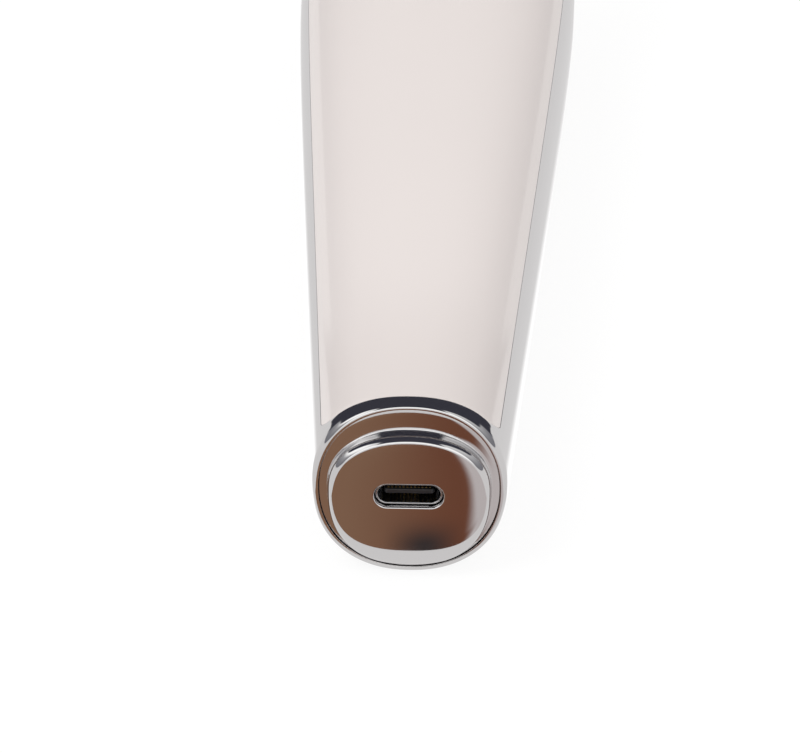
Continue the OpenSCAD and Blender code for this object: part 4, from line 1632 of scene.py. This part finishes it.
@dataclass
class Studio:
    """The floor, the cards that the metal reflects, the light and the camera."""

    elevation: float = math.radians(31.5)
    azimuth: float = math.radians(1.8)
    distance: float = 600.0
    focal_px: float = 4524.0
    foot_px: tuple[float, float] = (409.3, 489.4)
    foot_z: float = 12.95
    sensor: float = 36.0
    card_half: float = 30.0
    card_y: tuple[float, float] = (-60.0, -7.0)
    card_z: float = 0.05
    hood_r: float = 50.0
    hood_z: float = 18.0

    def floor(self) -> None:
        """A plain pale floor that keeps the object's shadow, with a painted bright strip along the
        handle that only mirrors see.
        """
        mesh = Mesh()
        bmesh.ops.create_grid(mesh.bm, x_segments=1, y_segments=1, size=3)
        bmesh.ops.translate(mesh.bm, vec=(0, 0, -0.0001), verts=mesh.bm.verts[:])
        obj = mesh.piece("floor", weighted=False)
        material, sh = new_material("floor_white")
        main = sh.tree.nodes["Principled BSDF"]
        main.inputs["Base Color"].default_value = (0.82, 0.82, 0.82, 1)
        main.inputs["Roughness"].default_value = 0.9
        camera, glossy, through = sh.rays()
        mirror = glossy.most(through)
        x, y, _ = sh.axes(sh.place())
        foot = world(0, 0, 0).y
        # Painted highlight: for mirrors the floor along and under the handle glows brighter, so the
        # sleeve's sides show a bright strip.
        painted_light_strip = (x + 0.003).size().above(0.029, 0.02) * y.above(foot + 0.002, foot + 0.014)
        mirrored = sh.mix(painted_light_strip, (0.72, 0.71, 0.71, 1), (1.2, 1.2, 1.2, 1))
        shown = sh.mix(mirror, (1.04, 1.04, 1.04, 1), mirrored)
        sh.show(sh.blend(camera * 0.85 + mirror, main.outputs[0], sh.glow(shown)))
        obj.data.materials.append(material)

    def mirror_only(self, mesh: Mesh, name: str,
                    paint: Callable[[Shader], bpy.types.NodeSocket]) -> None:
        """Ends a thing of the stage that only mirrors see.

        Args:
            mesh: its shape.
            name: its name.
            paint: adds its nodes and gives its shader.
        """
        obj = mesh.piece(name, weighted=False)
        material, sh = new_material(name)
        sh.show(paint(sh))
        obj.data.materials.append(material)
        obj.visible_camera = obj.visible_diffuse = False
        obj.visible_shadow = obj.visible_transmission = False

    def brown_reflection_card(self) -> None:
        """A glowing brown card in front of the foot that only mirrors see: the end face's painted
        reflection of a brown table top.
        """
        mesh = Mesh()
        mesh.sheet((-self.card_half, self.card_half), self.card_y)
        for v in mesh.bm.verts:
            v.co = world(v.co.x, v.co.y, self.card_z)
        self.mirror_only(mesh, "brown_reflection_card", self.painted_brown_reflection)

    def painted_brown_reflection(self, sh: Shader) -> bpy.types.NodeSocket:
        """The brown card's painted light: brown and darker towards the right, with a painted shadow
        of the foot near it and a painted highlight at its right end.

        Args:
            sh: the card's shader.

        Returns:
            The shader that shows.
        """
        x, y, _ = sh.axes(sh.place())
        foot = world(0, 0, 0).y
        tone = sh.mix(x.above(-0.012, 0.008), (0.24, 0.135, 0.085, 1), (0.16, 0.062, 0.036, 1))
        # Painted shadow: a dark patch on the card just in front of the foot, standing in for the
        # foot's contact shadow.
        near = (y * -1).above(-foot + 0.019, -foot + 0.008)
        middle = (x - 0.002).size().above(0.007, 0.0)
        tone = sh.mix(near * middle * 0.9, tone, (0.03, 0.03, 0.033, 1))
        # Painted highlight: the card's right end turns pale, giving the grey highlight along the
        # end face's right side.
        return sh.glow(sh.mix(x.above(0.0078, 0.0112) * 0.9, tone, (0.6, 0.56, 0.56, 1)))

    def hood(self) -> None:
        """A dark shell over the foot that glows faintly and only mirrors see: the painted dark
        reflection in the sleeve and the plateau's rounding.
        """
        mesh = Mesh()
        bmesh.ops.create_uvsphere(mesh.bm, u_segments=64, v_segments=32, radius=self.hood_r * MM)
        bmesh.ops.translate(mesh.bm, vec=world(0, 0, self.hood_z), verts=mesh.bm.verts[:])
        self.mirror_only(mesh, "hood", self.hood_paint)

    def hood_paint(self, sh: Shader) -> bpy.types.NodeSocket:
        """The hood's painted dark reflection: dark, with soft borders, and clear where the hood is
        open.

        Args:
            sh: the hood's shader.

        Returns:
            The shader that shows.
        """
        centre = world(0, 0, self.hood_z)
        # Each place runs from -1 to 1 over the hood
        x, y, z = ((place - middle) / (self.hood_r * MM)
                   for place, middle in zip(sh.axes(sh.place()), centre))
        reach = y.above(-0.5, 0.1) * 0.55 + 0.4 - z.above(0.5, 0.3) * 0.14
        sides = (reach - x.size()).above(-0.04, 0.04)
        # Painted reflection: the dark region that the sleeve and the rounding mirror, glowing at
        # the sleeve's dark level.
        painted_dark = y.above(-0.84, -0.76) * z.above(-0.01, 0.01) * sides
        painted_dark = painted_dark * z.above(0.1, 0.45).most(x.size().above(0.42, 0.52)) * y.above(0.95, 0.8)
        clear = sh.node("ShaderNodeBsdfTransparent").outputs[0]
        return sh.blend(painted_dark, clear, sh.glow((0.042, 0.042, 0.056, 1)))

    def sky(self) -> None:
        """White for the camera, and light for the object that is softer towards the horizon."""
        scene = bpy.context.scene
        scene.world = scene.world or bpy.data.worlds.new("studio")
        scene.world.use_nodes = True
        sh = Shader(scene.world.node_tree)
        camera, glossy, through = sh.rays()
        x, y, z = sh.axes(sh.place("Generated"))
        overhead = x.above(-0.35, -0.6) * z.above(0.3, 0.5) * z.above(0.95, 0.85)
        bright = y.above(-0.66, -0.8).most(overhead)
        wall = sh.mix(z.above(0.0, 0.9), (0.2, 0.2, 0.22, 1), (0.75, 0.75, 0.75, 1))
        mirror = sh.mix(bright, wall, (1.15, 1.15, 1.15, 1))
        seen = sh.mix(glossy, (0.92, 0.915, 0.91, 1), mirror)
        shown = sh.mix(camera.most(through), seen, (1, 1, 1, 1))
        back = next(n for n in scene.world.node_tree.nodes if n.type == "BACKGROUND")
        sh.feed(back.inputs["Color"], shown)
        back.inputs["Strength"].default_value = 1.0

    def lamp(self, name: str, place: tuple[float, float, float], size: float, level: float) -> None:
        """A soft square lamp that faces the handle.

        Args:
            name: the lamp's name.
            place: where it hangs, in metres.
            size: its side, in metres.
            level: the brightness it gives a white surface that faces it.
        """
        data = bpy.data.lights.new(name, "AREA")
        data.shape, data.size = "SQUARE", size
        where = Vector(place)
        data.energy = level * (math.pi * where.length) ** 2
        obj = bpy.data.objects.new(name, data)
        obj.location = where
        obj.visible_camera = obj.visible_glossy = False
        obj.rotation_mode = "QUATERNION"
        obj.rotation_quaternion = (-where).to_track_quat("-Z", "Y")
        bpy.context.scene.collection.objects.link(obj)

    def camera(self) -> None:
        """The camera at the photograph's viewing angle."""
        e, az = self.elevation, self.azimuth
        foot = world(0, 0, self.foot_z)
        away = Vector((math.sin(az) * math.cos(e), -math.cos(az) * math.cos(e), math.sin(e)))
        right = (-away).cross(Vector((0, 0, 1))).normalized()
        up = right.cross(-away)
        ahead = (-away * self.focal_px + right * (IMAGE_W / 2 - self.foot_px[0])
                 + up * (self.foot_px[1] - IMAGE_H / 2)).normalized()
        side = (right - ahead * right.dot(ahead)).normalized()
        data = bpy.data.cameras.new("camera")
        data.sensor_fit, data.sensor_width = "HORIZONTAL", self.sensor
        data.lens = self.focal_px / IMAGE_W * self.sensor
        data.clip_start, data.clip_end = 0.05, 30
        obj = bpy.data.objects.new("camera", data)
        obj.location = foot + away * (self.distance * MM)
        obj.rotation_mode = "QUATERNION"
        turn = Matrix((side, side.cross(ahead), -ahead)).transposed()
        obj.rotation_quaternion = turn.to_quaternion()
        bpy.context.scene.collection.objects.link(obj)
        bpy.context.scene.camera = obj

    def build(self) -> None:
        """Sets up the stage."""
        self.floor()
        self.brown_reflection_card()
        self.hood()
        self.sky()
        self.lamp("key", (-0.5, -0.35, 0.9), 0.5, 0.3)
        self.lamp("fill", (0.7, -0.2, 0.7), 0.7, 0.08)
        self.camera()
        bpy.context.scene.view_settings.view_transform = "Standard"


def main() -> None:
    """Builds every piece in order."""
    logging.basicConfig(level=logging.INFO, format="%(message)s")
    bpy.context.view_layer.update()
    form, finishes = BodyForm(), Finishes()
    Studio().build()
    for part in (Housing, FootEnd, Controls, Head, Insides):
        part(form, finishes).build()
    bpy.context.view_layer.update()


if __name__ == "__main__":
    main()
